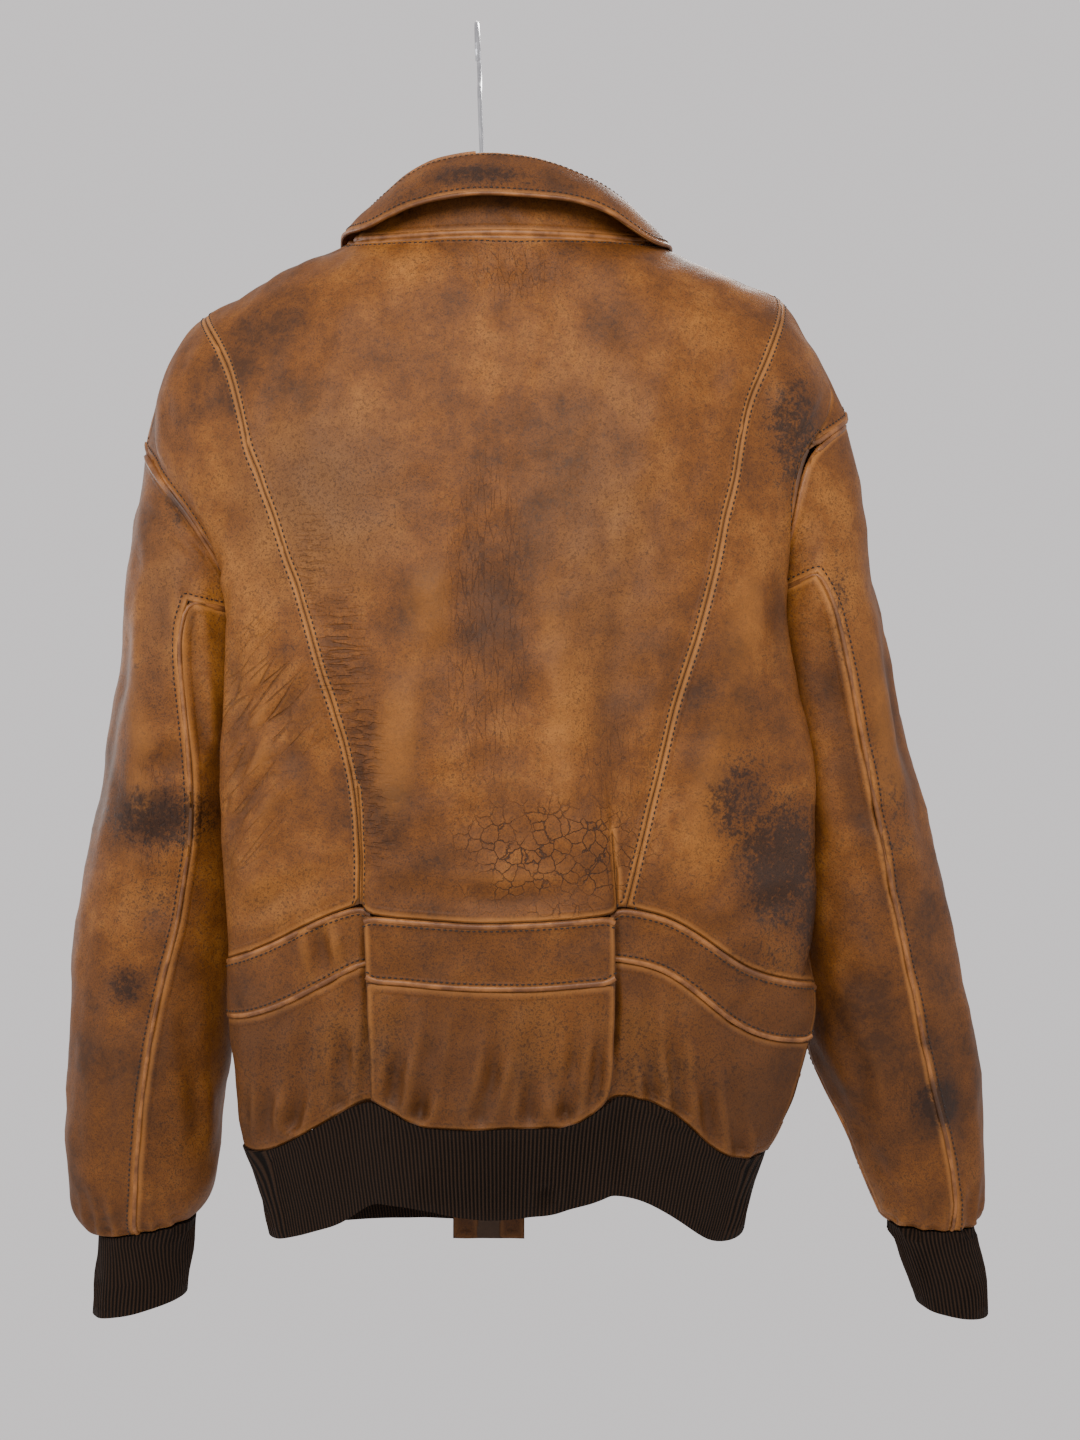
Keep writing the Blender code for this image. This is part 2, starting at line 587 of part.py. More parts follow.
def on_front(line):
    """A line all round the body, as a function of the way from the centre front."""
    return lambda way, near: line(half_way(near)[1] - way)


def centre_foot(way, near=0):
    """The centre back's lower seam, which steps to the belt's side lengths past the pleats."""
    height = BELT_TOP["centre"][0][1]
    to_left = float(ease((fold["left"](height) - way) / 0.004 + 1))
    to_right = float(ease((way - fold["right"](height)) / 0.004 + 1))
    centre = belt_top["centre"](way)
    return (centre + (belt_top["left"](way) - centre) * to_left
            + (belt_top["right"](way) - centre) * to_right)


def armhole_heights(side):
    top, low = ARMHOLE[side][0][0], ARMHOLE[side][-1][0]
    turns = np.linspace(0, math.pi, ARMHOLE_PARTS + 1)
    return [top + (low - top) * (1 - math.cos(turn)) / 2 for turn in turns]


LOWER_ROWS, BELT_ROWS, SKIRT_ROWS = 7, 2, 3


def side_heights(side):
    """Heights of the rows where a side back, the belt and the skirt meet the front."""
    armhole = armhole_heights(side)
    belt_high = belt_top[side](back_side[side](-0.70))
    belt_low = belt_bottom[side](back_side[side](-0.75))
    low = hem(back_side[side](-0.84))
    down = list(np.linspace(armhole[-1], belt_high, LOWER_ROWS + 1)[1:])
    belt = list(np.linspace(belt_high, belt_low, BELT_ROWS + 1)[1:])
    skirt = list(np.linspace(belt_low, low, SKIRT_ROWS + 1)[1:])
    return armhole + down, belt, skirt


def as_shares(heights):
    return [(z - heights[0]) / (heights[-1] - heights[0]) for z in heights]


BACK_ROWS = {side: as_shares(side_heights(side)[0]) for side in SIDE_SIGN}
FRONT_ROWS = {side: as_shares(sum(side_heights(side), [])) for side in SIDE_SIGN}

# ---- Back ---------------------------------------------------------------------------------------

neck_line = edge(NECK_BACK[1:-1], back_at_x,
                 ridge("left", back_at_angle, SHOULDER_TIP["left"], NECK_SIDE["left"])
                 + ridge("right", back_at_angle, SHOULDER_TIP["right"], NECK_SIDE["right"]))
FAN_START = -0.4200


def fanned(line, corner):
    """A guide that leaves its line part way up and ends at a way on the neckline."""
    def at(z):
        up = float(ease((z - FAN_START) / (NECK_SIDE["left"] - 0.012 - FAN_START)))
        return (1 - up) * line(min(z, FAN_START + 0.1)) + up * corner
    return at


def beside_fold(side, share):
    """A guide along a pleat's fold, to one side of its drop by a share of the drop's width."""
    number = {"left": 2, "right": 3}[side]
    return lambda z: fold[side](z) + share * float(
        curve(column(PLEAT_LIFT, 0), column(PLEAT_LIFT, number), z))


def between(first, second, share):
    return lambda z: (1 - share) * first(z) + share * second(z)


NECK_SPOTS = {"left": (-0.060, -0.046), "right": (0.078, 0.092)}    # X where the fans end
back_guides = {}
for side, sign in SIDE_SIGN.items():
    outer, inner = sorted(NECK_SPOTS[side], key=abs, reverse=True)
    corner = back_at_angle(NECK_SIDE[side], 90 * sign)
    low_edge = shifted(seam[side], -sign * SEAM / 2)
    beside = [beside_fold(side, sign * 0.5), beside_fold(side, -sign * 0.5)]
    back_guides[side] = [
        low_edge,
        fanned(between(low_edge, beside[0], 0.5), corner),
        fanned(beside[0], back_at_x(-0.178, outer)),
        fanned(beside[1], back_at_x(-0.178, inner)),
    ]
panel("back_centre", back_guides["left"] + back_guides["right"][::-1], [3, 3, 1, 6, 1, 3, 3],
      (BACK_ROWS["left"], BACK_ROWS["right"]), shifted(neck_line, -SEAM),
      shifted(centre_foot, SEAM / 2))


def ordered(side, lines):
    """Guides run the way round that faces their wall outwards."""
    return lines if side == "left" else lines[::-1]


SIDE_COLUMNS = 6
for side, sign in SIDE_SIGN.items():
    crown = edge([], back_at_x, ridge(side, back_at_angle, ARMHOLE_TOP[side],
                                      SHOULDER_TIP[side], 9))
    lines = [shifted(back_side[side], -sign * SEAM / 2), shifted(seam[side], sign * SEAM / 2)]
    panel(f"side_back_{side}", ordered(side, lines), [SIDE_COLUMNS],
          (BACK_ROWS[side], BACK_ROWS[side]), shifted(crown, -SEAM),
          shifted(belt_top[side], SEAM / 2))

# ---- Half belt and gathered lower back ------------------------------------------------------------

BELT_OUT = 0.0008         # the belt's turned edges stand it a little proud
UNDERLAP = 0.0060         # how far the side lengths run under the centre's folded edges

panel("belt_centre", [fold["left"], fold["right"]], [8], even(BELT_ROWS),
      shifted(belt_top["centre"], -2 * SEAM), shifted(belt_bottom["centre"], SEAM / 2),
      BELT_OUT, 1.0)
panel("skirt_centre", [fold["left"], fold["right"]], [14], even(SKIRT_ROWS),
      shifted(belt_bottom["centre"], -SEAM / 2), shifted(hem, SEAM / 2), 0.0, 1.0)
for side, sign in SIDE_SIGN.items():
    lines = [shifted(back_side[side], -sign * SEAM / 2), seam[side],
             shifted(fold[side], -sign * UNDERLAP)]
    counts = ordered(side, [SIDE_COLUMNS, 2])
    panel(f"belt_{side}", ordered(side, lines), counts, even(BELT_ROWS),
          shifted(belt_top[side], -2 * SEAM), shifted(belt_bottom[side], SEAM / 2),
          BELT_OUT, 0.0)
    panel(f"skirt_{side}", ordered(side, lines), counts, even(SKIRT_ROWS),
          shifted(belt_bottom[side], -SEAM / 2), shifted(hem, SEAM / 2), 0.0, 0.0)

# ---- Fronts and zip --------------------------------------------------------------------------------



def zip_line(z):
    return front_at_x(z, ZIP_X)


zip_edge = {side: shifted(zip_line, sign * (ZIP_HALF + SEAM)) for side, sign in SIDE_SIGN.items()}
front_neck = {}
for side, sign in SIDE_SIGN.items():
    rows = [row for row in NECK_FRONT[1:-1] if sign * (row[0] - ZIP_X) > -0.001]
    front_neck[side] = edge(rows, front_at_x, ridge(side, front_at_angle, ARMHOLE_TOP[side],
                                                    NECK_SIDE[side], 12))
    # Guides from the armhole's top, the shoulder tip and the neck's side, to the zip.
    tip = front_at_angle(SHOULDER_TIP[side], 90 * sign)
    neck = front_at_angle(NECK_SIDE[side], 90 * sign)
    outer = shifted(front_side[side], -sign * SIDE_GAP)
    inner = zip_edge[side]

    def falling(start, share, outer=outer, inner=inner, top=SHOULDER_TIP[side]):
        def at(z):
            down = float(ease((top - z) / 0.25))
            return (1 - down) * start + down * ((1 - share) * outer(z) + share * inner(z))
        return at
    lines = [outer, falling(tip, 0.42), falling(neck, 0.72, top=NECK_SIDE[side]), inner]
    panel(f"front_{side}", ordered(side, lines)[::-1], ordered(side, [5, 3, 6])[::-1],
          (FRONT_ROWS[side], FRONT_ROWS[side]), shifted(front_neck[side], -SEAM),
          shifted(on_front(hem), SEAM / 2), front=True)

TAB_END = rib_end(half_way(-0.93)[1] - zip_line(-0.93)) - TAB_DROP
panel("zip_tape", [shifted(zip_line, ZIP_HALF), shifted(zip_line, -ZIP_HALF)], [1], even(16),
      front_neck["left"], lambda way, near: TAB_END, front=True, material="zip_tape", wall=TAPE)
for side, sign in SIDE_SIGN.items():
    lines = [shifted(zip_edge[side], sign * TAB_WIDTH), zip_edge[side]]
    panel(f"front_tab_{side}", ordered(side, lines)[::-1], [2], even(3),
          shifted(on_front(hem), -SEAM / 2), lambda way, near: TAB_END, front=True)

# ---- Knitted waistband -------------------------------------------------------------------------------


def from_back(line, side, by=0.0):
    """A front guide, counted from the centre back."""
    number, sign = (0, -1) if side == "left" else (1, 1)
    return lambda z: sign * half_way(z)[number] - line(z) - by


waist = [from_back(zip_edge["left"], "left", -TAB_WIDTH - SEAM), back_side["left"], seam["left"],
         fold["left"], fold["right"], seam["right"], back_side["right"],
         from_back(zip_edge["right"], "right", TAB_WIDTH + SEAM)]
panel("rib_waist", waist, [8, SIDE_COLUMNS, 1, 14, 1, SIDE_COLUMNS, 8], even(2),
      shifted(hem, -SEAM), rib_end, material="rib_knit", wall=RIB)

# ---- Sleeves and cuffs ----------------------------------------------------------------------------------


def oval(row, angle):
    """A point of a sleeve section at an angle from its outer edge round its back."""
    out_x, out_z, in_x, in_z, middle, half = row
    turn = math.radians(angle)
    c, s = math.cos(turn), math.sin(turn)
    n = SLEEVE_SQUARENESS
    reach = (abs(c) ** n + abs(s) ** n) ** (-1 / n)
    along = (1 - reach * c) / 2
    return (out_x + (in_x - out_x) * along, middle - half * reach * s,
            out_z + (in_z - out_z) * along)


def armhole_point(side, angle):
    """A point of the sleeve's start, just inside the armhole's edge."""
    sign = SIDE_SIGN[side]
    angle = angle % 360
    share = (angle if angle <= 180 else 360 - angle) / 180
    top, low = ARMHOLE[side][0][0], ARMHOLE[side][-1][0]
    turn = math.pi * share
    z = top + (low - top) * (1 - math.cos(turn)) / 2
    clear = across(ARMHOLE_CLEAR, share)
    inward = sign * clear * math.sin(turn)
    if angle <= 180:
        way = back_side[side](z) + inward
    else:
        way = half_way(z)[1] - (front_side[side](z) + inward)
    return body_point(way, z - clear * math.cos(turn), across(ARMHOLE_OFF, share))


def sleeve_point(side, place, angle):
    rows = SLEEVE[side]
    places = range(len(rows) + 1)
    points = [armhole_point(side, angle)] + [oval(row, angle) for row in rows]
    return tuple(float(curve(places, [p[i] for p in points], place)) for i in range(3))


def sleeve_panel(name, side, first, last, columns):
    """A piece of a sleeve between two seams, given as angles at a place."""
    grid = []
    for place in SLEEVE_PLACES:
        ends = first(place), last(place)
        line = [sleeve_point(side, place, ends[0] + (ends[1] - ends[0]) * share)
                for share in shares(columns)]
        grid.append(line if side == "left" else line[::-1])
    cloth(name, grid)


SEAM_ANGLE = 0.25         # the seam's gap, as an angle of a sleeve's section
for side in SIDE_SIGN:
    places = column(SLEEVE_SEAM[side], 0)
    back_seam = lambda place, side=side: float(
        curve(places, column(SLEEVE_SEAM[side], 1), place))
    front_seam = lambda place, side=side: float(
        curve(places, column(SLEEVE_SEAM[side], 2), place))
    sleeve_panel(f"upper_sleeve_{side}", side, lambda place: SEAM_ANGLE - front_seam(place),
                 lambda place: back_seam(place) - SEAM_ANGLE, 2 * SEAM_PART)
    sleeve_panel(f"under_sleeve_{side}", side, lambda place: back_seam(place) + SEAM_ANGLE,
                 lambda place: 360 - front_seam(place) - SEAM_ANGLE,
                 2 * (ARMHOLE_PARTS - SEAM_PART))
    angles = shares(2 * ARMHOLE_PARTS) * 360
    turned = angles if side == "left" else angles[::-1]
    cloth(f"cuff_{side}", [[oval(row, angle) for angle in turned] for row in CUFF[side]],
          "rib_knit", RIB, joined=True)

# ---- Collar -----------------------------------------------------------------------------------------


def neck_point(station):
    """A point just over the neckline, from the zip's left by the centre back to its right."""
    if 0.3 <= station <= 0.7:
        ends = [back_at_angle(NECK_SIDE[side], 90 * SIDE_SIGN[side]) for side in SIDE_SIGN]
        way = ends[0] + (ends[1] - ends[0]) * (station - 0.3) / 0.4
        z = neck_line(way)
    else:
        side, share = ("left", station / 0.3) if station < 0.3 else ("right", (1 - station) / 0.3)
        corner = front_at_angle(NECK_SIDE[side], 90 * SIDE_SIGN[side])
        start = zip_edge[side](NECK_LOW)
        from_front = start + (corner - start) * share
        z = front_neck[side](from_front)
        way = half_way(z)[1] - from_front
    x, y, z = body_point(way, z)
    return x, y, z + COLLAR_SEAM


def collar_keys():
    """The stations with their fold and free edge."""
    keys = [(row[0], row[1:4], row[4:7]) for row in COLLAR_BACK]
    for side, rows in COLLAR_FRONT.items():
        for share, x, z, rise in rows:
            station = 0.3 * share if side == "left" else 1 - 0.3 * share
            seam_x, seam_y, seam_z = neck_point(station)
            inward = np.array([NECK_PEAK[0] - seam_x, -seam_y])
            inward *= COLLAR_LEAN * rise / np.hypot(*inward)
            top = (seam_x + inward[0], seam_y + inward[1], seam_z + rise)
            low = body_point(half_way(z)[1] - front_at_x(z, x), z, COLLAR_OFF)
            keys.append((station, top, low))
    return sorted(keys, key=lambda key: key[0])


KEYS = collar_keys()


def collar_line(number, station):
    places = [key[0] for key in KEYS]
    return np.array([float(curve(places, [key[number][i] for key in KEYS], station))
                     for i in range(3)])


stand_rows, fall_rows = [[] for _ in range(4)], [[] for _ in range(7)]
for station in shares(COLLAR_COLUMNS):
    seam_at = np.array(neck_point(station))
    fold_at, edge_at = collar_line(1, station), collar_line(2, station)
    up = (fold_at - seam_at) / np.linalg.norm(fold_at - seam_at)
    near = [np.array(neck_point(np.clip(station + step, 0, 1))) for step in (-0.004, 0.004)]
    off = np.cross(near[1] - near[0], up)
    off /= np.linalg.norm(off)
    top = fold_at - up * FOLD_DEPTH
    for row, share in zip(stand_rows, shares(3)):
        row.append(tuple(top + (seam_at - top) * share))
    roll = [fold_at + up * rise + off * reach for rise, reach in FOLD_ROLL]
    line = [top + up * SEAM * 2 + off * LEATHER] + roll
    drop = edge_at - roll[-1]
    for share in (1 / 3, 2 / 3, 1.0):
        line.append(roll[-1] + drop * share + off * COLLAR_BOW * math.sin(math.pi * share))
    for row, point in zip(fall_rows, line):
        row.append(tuple(point))
cloth("collar_stand", stand_rows)
cloth("collar_fall", fall_rows)

# ---- Zip slider and pull ------------------------------------------------------------------------------


def primitive(shape, size=None, at=(0, 0, 0), radius=None, length=None, sides=20):
    """A box, or a rod along X, as a new bmesh."""
    bm = bmesh.new()
    if shape == "box":
        bmesh.ops.create_cube(bm, size=1)
        bmesh.ops.scale(bm, vec=size, verts=bm.verts)
    else:
        bmesh.ops.create_cone(bm, cap_ends=True, segments=sides, radius1=radius,
                              radius2=radius, depth=length,
                              matrix=Matrix.Rotation(math.pi / 2, 4, "Y"))
    bmesh.ops.translate(bm, vec=at, verts=bm.verts)
    return bm


def helper(name, bm, turn):
    bm.transform(turn)
    mesh = bpy.data.meshes.new(name)
    bm.to_mesh(mesh)
    bm.free()
    made = bpy.data.objects.new(name, mesh)
    made.hide_render = True
    made.display_type = "WIRE"
    cutters.objects.link(made)
    return made


def combine(made, operation, others):
    for other in others:
        step = made.modifiers.new(operation.lower(), "BOOLEAN")
        step.operation = operation
        step.solver = "EXACT"
        step.object = other


cutters = new_collection("cutters")
cutters.hide_render = True
zip_way = half_way(SLIDER_HEIGHT)[1] - zip_line(SLIDER_HEIGHT)
low_y, high_y = (body_point(zip_way, SLIDER_HEIGHT + rise)[1] for rise in (-0.006, 0.006))
tilt = math.atan2(low_y - high_y, 0.012)
foot = body_point(zip_way, SLIDER_HEIGHT, TAPE + TOOTH_GAP)
turned = Matrix.Rotation(tilt, 4, "X")
pin_out = SLIDER[1] + EAR_REACH - 0.0002
pin_local = Vector((0, pin_out, PIN_UP))
pin_at = Vector(foot) + turned @ pin_local

to_slider = Matrix.Translation(foot) @ turned
width, thick = SLIDER[:2]
block = primitive("box", SLIDER, (0, thick / 2, 0))
block.transform(to_slider)
slider = place("zip_slider", block, "zip_metal")
slider.data.shade_flat()
between_ears = KNUCKLE * 1.6
ears = [helper(f"ear_{side}", primitive("box", (EAR, EAR_REACH * 2, EAR_REACH * 2),
                                        (sign * (between_ears + EAR) / 2, pin_out, PIN_UP)),
               to_slider) for side, sign in SIDE_SIGN.items()]
pin = helper("pin", primitive("rod", at=pin_local, radius=PIN, length=between_ears + EAR),
             to_slider)
combine(slider, "UNION", ears + [pin])

pull_bm = primitive("box", (PULL_WIDTH, PULL_THICK, PULL_LENGTH - EAR_REACH * 2),
                    (0, 0, -(PULL_LENGTH + EAR_REACH * 2) / 2))
pull_bm.transform(turned)
pull = place("zip_pull", pull_bm, "zip_metal")
pull.data.shade_flat()
knuckle_long = between_ears - 2 * PIN_PLAY
knuckle = helper("knuckle", primitive("rod", radius=KNUCKLE, length=knuckle_long), turned)
neck = helper("pull_neck", primitive("box", (knuckle_long, PULL_THICK, EAR_REACH * 2),
                                     (0, 0, -EAR_REACH - KNUCKLE / 2)), turned)
bore = helper("bore", primitive("rod", radius=PIN + PIN_PLAY, length=between_ears * 2), turned)
combine(pull, "UNION", [knuckle, neck])
combine(pull, "DIFFERENCE", [bore])
for thing in (pull, knuckle, neck, bore):
    thing.location = pin_at

# ---- Hanger ------------------------------------------------------------------------------------------------


def wire(name, points, radius, material, resolution=2):
    """A rod along a line of points, with closed ends."""
    line = bpy.data.curves.new(name, "CURVE")
    line.dimensions = "3D"
    line.bevel_depth = radius
    line.bevel_resolution = resolution
    line.use_fill_caps = True
    spline = line.splines.new("POLY")
    spline.points.add(len(points) - 1)
    for point, at in zip(spline.points, points):
        point.co = (*at, 1.0)
    line.materials.append(new_material(material))
    made = bpy.data.objects.new(name, line)
    jacket.objects.link(made)
    return made


def bar_height(x):
    slope = (shoulder_line(x + 0.004) - shoulder_line(x - 0.004)) / 0.008
    dip = HANGER_DIP * ease((x - DIP_FROM) / DIP_OVER) * ease((DIP_TO - x) / DIP_OVER)
    return float(shoulder_line(x) - HANGER_SINK * BAR * math.hypot(1, slope) - dip)


bar_points = [(x, 0, bar_height(x)) for x in np.linspace(*HANGER_ENDS, 28)]
wire("hanger_bar", bar_points, BAR, "hanger_bar")

ring_radius = HOOK_INSIDE + WIRE
bar_top = bar_height(HOOK_FOOT_X) + BAR + SEAM * 2
hook = [(ring_radius * math.cos(math.radians(turn)),
         ring_radius * math.sin(math.radians(turn)) - HOOK_INSIDE)
        for turn in range(180 - HOOK_OPENING, -61, -11)]
hook += [(0.0055, -0.0428), (0.0016, -0.0480), (0.0, -0.0545), (0.0, bar_top)]
wire("hanger_hook", [(HOOK_FOOT_X * min(1, max(0, -z / -bar_top)), y, z) for y, z in hook],
     WIRE, "hook_steel")
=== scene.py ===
"""A worn leather flight jacket hanging on a clothes hanger, seen from its back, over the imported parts."""

import math
import random

import bmesh
import bpy
import numpy as np
from mathutils import Matrix, Vector
from mathutils.bvhtree import BVHTree
from mathutils.kdtree import KDTree


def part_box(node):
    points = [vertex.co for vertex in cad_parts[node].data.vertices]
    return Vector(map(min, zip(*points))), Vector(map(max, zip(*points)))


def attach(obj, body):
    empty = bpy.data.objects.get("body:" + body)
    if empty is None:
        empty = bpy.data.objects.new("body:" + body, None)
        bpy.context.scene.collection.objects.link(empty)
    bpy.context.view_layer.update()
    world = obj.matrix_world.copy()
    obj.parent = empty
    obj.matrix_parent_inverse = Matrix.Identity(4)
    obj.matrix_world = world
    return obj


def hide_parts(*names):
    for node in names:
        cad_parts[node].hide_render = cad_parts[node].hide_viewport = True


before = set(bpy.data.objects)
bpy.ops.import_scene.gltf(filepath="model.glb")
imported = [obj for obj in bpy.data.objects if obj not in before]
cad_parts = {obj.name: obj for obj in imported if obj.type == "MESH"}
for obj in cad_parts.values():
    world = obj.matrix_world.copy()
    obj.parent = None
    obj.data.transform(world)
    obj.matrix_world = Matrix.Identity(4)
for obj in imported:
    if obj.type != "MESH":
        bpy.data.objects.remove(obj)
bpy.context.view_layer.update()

# ---- Camera, light and floor -----------------------------
# The jacket hangs at head height in a plain pale room, seen level and straight on from its back.
# Large soft lights stand beside the camera, and a weaker pair lights its front.

SENSOR_MM, LENS_MM, EYE = 36.0, 39.3, (0.048, -1.20, -0.528)
SIDES = {"left": -1, "right": 1}  # and the side's sign in X


def placed(name, data):
    """A new object that holds this data, put into the scene."""
    made = bpy.data.objects.new(name, data)
    bpy.context.scene.collection.objects.link(made)
    return made


def mesh_of(name, form):
    """A new mesh that holds this bmesh, which is then let go."""
    mesh = bpy.data.meshes.new(name)
    form.to_mesh(mesh)
    form.free()
    return mesh


camera_data = bpy.data.cameras.new("camera")
camera_data.lens = LENS_MM
camera_data.sensor_width = SENSOR_MM
camera = placed("camera", camera_data)
camera.location = EYE
camera.rotation_euler = (math.radians(90), 0, 0)
bpy.context.scene.camera = camera


CHEST = Vector((0.03, 0.0, -0.50))


def soft_light(name, place, size, watts, tint=(1, 1, 1)):
    """A square soft box turned towards the jacket's chest."""
    data = bpy.data.lights.new(name, "AREA")
    data.shape = "SQUARE"
    data.size = size
    data.energy = watts
    data.color = tint
    light = placed(name, data)
    light.location = place
    light.rotation_euler = (CHEST - Vector(place)).to_track_quat("-Z", "Y").to_euler()


soft_light("key", (-0.08, -1.25, 0.20), 0.6, 17.5, (1.0, 0.96, 0.91))
soft_light("left_fill", (-1.9, -0.9, -0.2), 0.8, 12)
soft_light("right_fill", (2.0, -1.0, -0.2), 0.8, 7)
soft_light("front_key", (0.25, 1.15, 0.52), 0.6, 25, (1.0, 0.97, 0.93))
soft_light("front_fill", (-1.7, 1.2, -0.3), 0.9, 10)

room = bpy.data.worlds.new("room")
room.use_nodes = True
walls = room.node_tree.nodes["Background"]
walls.inputs["Color"].default_value = (0.80, 0.765, 0.77, 1)
walls.inputs["Strength"].default_value = 1.10
bpy.context.scene.world = room

FLOOR_DROP, FLOOR_WIDE = 2.2, 4.0
boards = bmesh.new()
bmesh.ops.create_grid(boards, x_segments=1, y_segments=1, size=FLOOR_WIDE / 2,
                      matrix=Matrix.Translation((0, 0, -FLOOR_DROP)))
placed("floor", mesh_of("floor", boards))


# ---- Hanger ----------------------------------------------
# A plain hardwood hanger: one curved bar, planed and varnished, with a bent steel wire hook
# screwed into its middle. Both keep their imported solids.


class Wire:
    """One socket in a material's nodes; sums and products of it are written as plain arithmetic."""

    def __init__(self, tree, socket=None):
        self.tree, self.socket = tree, socket

    def node(self, kind, settings=None, inputs=None, out=0):
        made = self.tree.nodes.new("ShaderNode" + kind)
        for key, value in (settings or {}).items():
            if key == "stops":
                ramp = made.color_ramp
                while len(ramp.elements) < len(value):
                    ramp.elements.new(0.5)
                for stop, (place, colour) in zip(ramp.elements, value):
                    stop.position, stop.color = place, colour
            else:
                setattr(made, key, value)
        for key, value in (inputs or {}).items():
            if isinstance(value, Wire):
                self.tree.links.new(value.socket, made.inputs[key])
            else:
                made.inputs[key].default_value = value
        return Wire(self.tree, made.outputs[out])

    def math(self, operation, *values):
        return self.node("Math", {"operation": operation}, dict(enumerate(values)))

    def __add__(self, other):
        return self.math("ADD", self, other)

    def __sub__(self, other):
        return self.math("SUBTRACT", self, other)

    def __rsub__(self, other):
        return self.math("SUBTRACT", other, self)

    def __mul__(self, other):
        return self.math("MULTIPLY", self, other)

    __radd__, __rmul__ = __add__, __mul__

    def rise(self, low, high):
        """0 below low, 1 above high, and a smooth slope between them."""
        return self.node("MapRange", {"interpolation_type": "SMOOTHSTEP"},
                         {"Value": self, "From Min": low, "From Max": high})

    def blend(self, first, second):
        """One colour turning into another as this value goes from 0 to 1."""
        return self.node("Mix", {"data_type": "RGBA", "clamp_factor": True},
                         {0: self, 6: first, 7: second}, out=2)

    def grain(self, scale, detail=3.0, rough=0.5, stretch=None):
        """Soft noise on the piece, with scale in cells to the metre."""
        place = self.scaled(stretch) if stretch else self
        return place.node("TexNoise", None, {"Vector": place, "Scale": scale, "Detail": detail,
                                             "Roughness": rough})

    def scaled(self, by):
        return self.node("VectorMath", {"operation": "MULTIPLY"}, {0: self, 1: by})

    def cells(self, scale, stretch=None):
        """Distance to the nearest border of a net of uneven cells."""
        place = self.scaled(stretch) if stretch else self
        return place.node("TexVoronoi", {"feature": "DISTANCE_TO_EDGE"},
                          {"Vector": place, "Scale": scale})

    def carried(self, name):
        """A value that the piece's own points carry."""
        return self.node("Attribute", {"attribute_name": name}, out=2)


def srgb(red, green, blue):
    """A colour given as screen values from 0 to 255, as the shader takes it."""
    return (*((value / 255 / 12.92 if value <= 10 else ((value / 255 + 0.055) / 1.055) ** 2.4)
              for value in (red, green, blue)), 1.0)


def finish_of(name, **constants):
    """A new material: its shader node, and the object coordinates that its patterns start from."""
    material = bpy.data.materials.new(name)
    material.use_nodes = True
    shader = material.node_tree.nodes["Principled BSDF"]
    for key, value in constants.items():
        shader.inputs[key.replace("_", " ")].default_value = value
    start = Wire(material.node_tree).node("TexCoord", out=3)
    return material, shader, start


def plug(shader, key, wire):
    wire.tree.links.new(wire.socket, shader.inputs[key])


def dent(shader, height):
    """A bump from a height counted in millimetres."""
    bumped = height.node("Bump", None, {"Height": height, "Distance": 0.001, "Strength": 1.0})
    plug(shader, "Normal", bumped)


def give(node, material):
    """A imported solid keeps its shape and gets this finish."""
    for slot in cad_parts[node].material_slots:
        slot.material = material


bar_finish, shader, place = finish_of("varnished_wood")
rings = place.grain(70, 4, 0.6, stretch=(0.18, 1.6, 1.6))
flecks = place.grain(900, 2, 0.5, stretch=(0.08, 1, 1))
plug(shader, "Base Color", rings.rise(0.35, 0.66).blend(srgb(104, 70, 42), srgb(66, 42, 24)))
plug(shader, "Roughness", 0.34 + 0.2 * flecks)
dent(shader, rings * 0.10 + flecks * 0.05)
give("hanger_bar", bar_finish)

hook_finish, shader, place = finish_of("drawn_steel_wire", Metallic=1.0)
drawn = place.grain(1400, 2, 0.5, stretch=(1, 1, 0.05))
plug(shader, "Base Color", drawn.blend(srgb(150, 151, 156), srgb(205, 206, 210)))
plug(shader, "Roughness", 0.20 + 0.16 * drawn)
dent(shader, drawn * 0.02)
give("hanger_hook", hook_finish)

# ---- Leather ---------------------------------------------
# Full-grain horsehide in tan, thin and supple, stained in patches and rubbed pale along each seam and
# turned edge.
# Its colour also holds painted shade: darker crease troughs and wrinkles, and darkening towards the bottom
# of the jacket.
# Every panel of the jacket is cut from it.

TAN, PALE, DEEP = srgb(112, 64, 16), srgb(154, 98, 38), srgb(62, 34, 9)
STAIN_AND_SHADE, CRACK, RUBBED = srgb(30, 14, 5), srgb(34, 18, 8), srgb(172, 113, 54)
GREY = srgb(94, 66, 40)

leather, shader, place = finish_of("worn_tan_leather", Specular_IOR_Level=0.28)
broad = place.grain(8, 3, 0.5)
cloudy = place.grain(34, 5, 0.62)
mottled = place.grain(190, 5, 0.65)
fine = place.grain(470, 3, 0.7)
pores = place.grain(900, 2, 0.6)
stain, seam, fold = (place.carried(name) for name in ("stain", "seam", "fold"))
crazed, checked, greyed = (place.carried(name) for name in ("crazed", "checked", "greyed"))
soiled, puckered, wrinkled = (place.carried(name) for name in ("soiled", "puckered", "wrinkled"))

# The hide's own tone, from dark hollows to pale high spots, with open pores in it, and painted shade that
# darkens it towards the bottom of the jacket
tone = broad * 0.36 + cloudy * 0.32 + mottled * 0.18 + fine * 0.34
colour = tone.node("ValToRGB", {"stops": ((0.48, DEEP), (0.60, TAN), (0.73, PALE))}, {0: tone})
colour = (greyed * (0.35 + cloudy * 0.6)).blend(colour, GREY)
# Painted shade: lower down the jacket the leather is darker and its dark mottling stronger
colour = (soiled * (cloudy * 1.7 + mottled * 0.6 - 0.55)).blend(colour, DEEP)
colour = (mottled.rise(0.54, 0.68) * (0.34 + soiled * 0.2)).blend(colour, DEEP)
colour = (fine.rise(0.50, 0.61) * (0.66 + soiled * 0.2)).blend(colour, DEEP)
colour = (pores.rise(0.54, 0.68) * (0.44 + stain * 0.5)).blend(colour, CRACK)

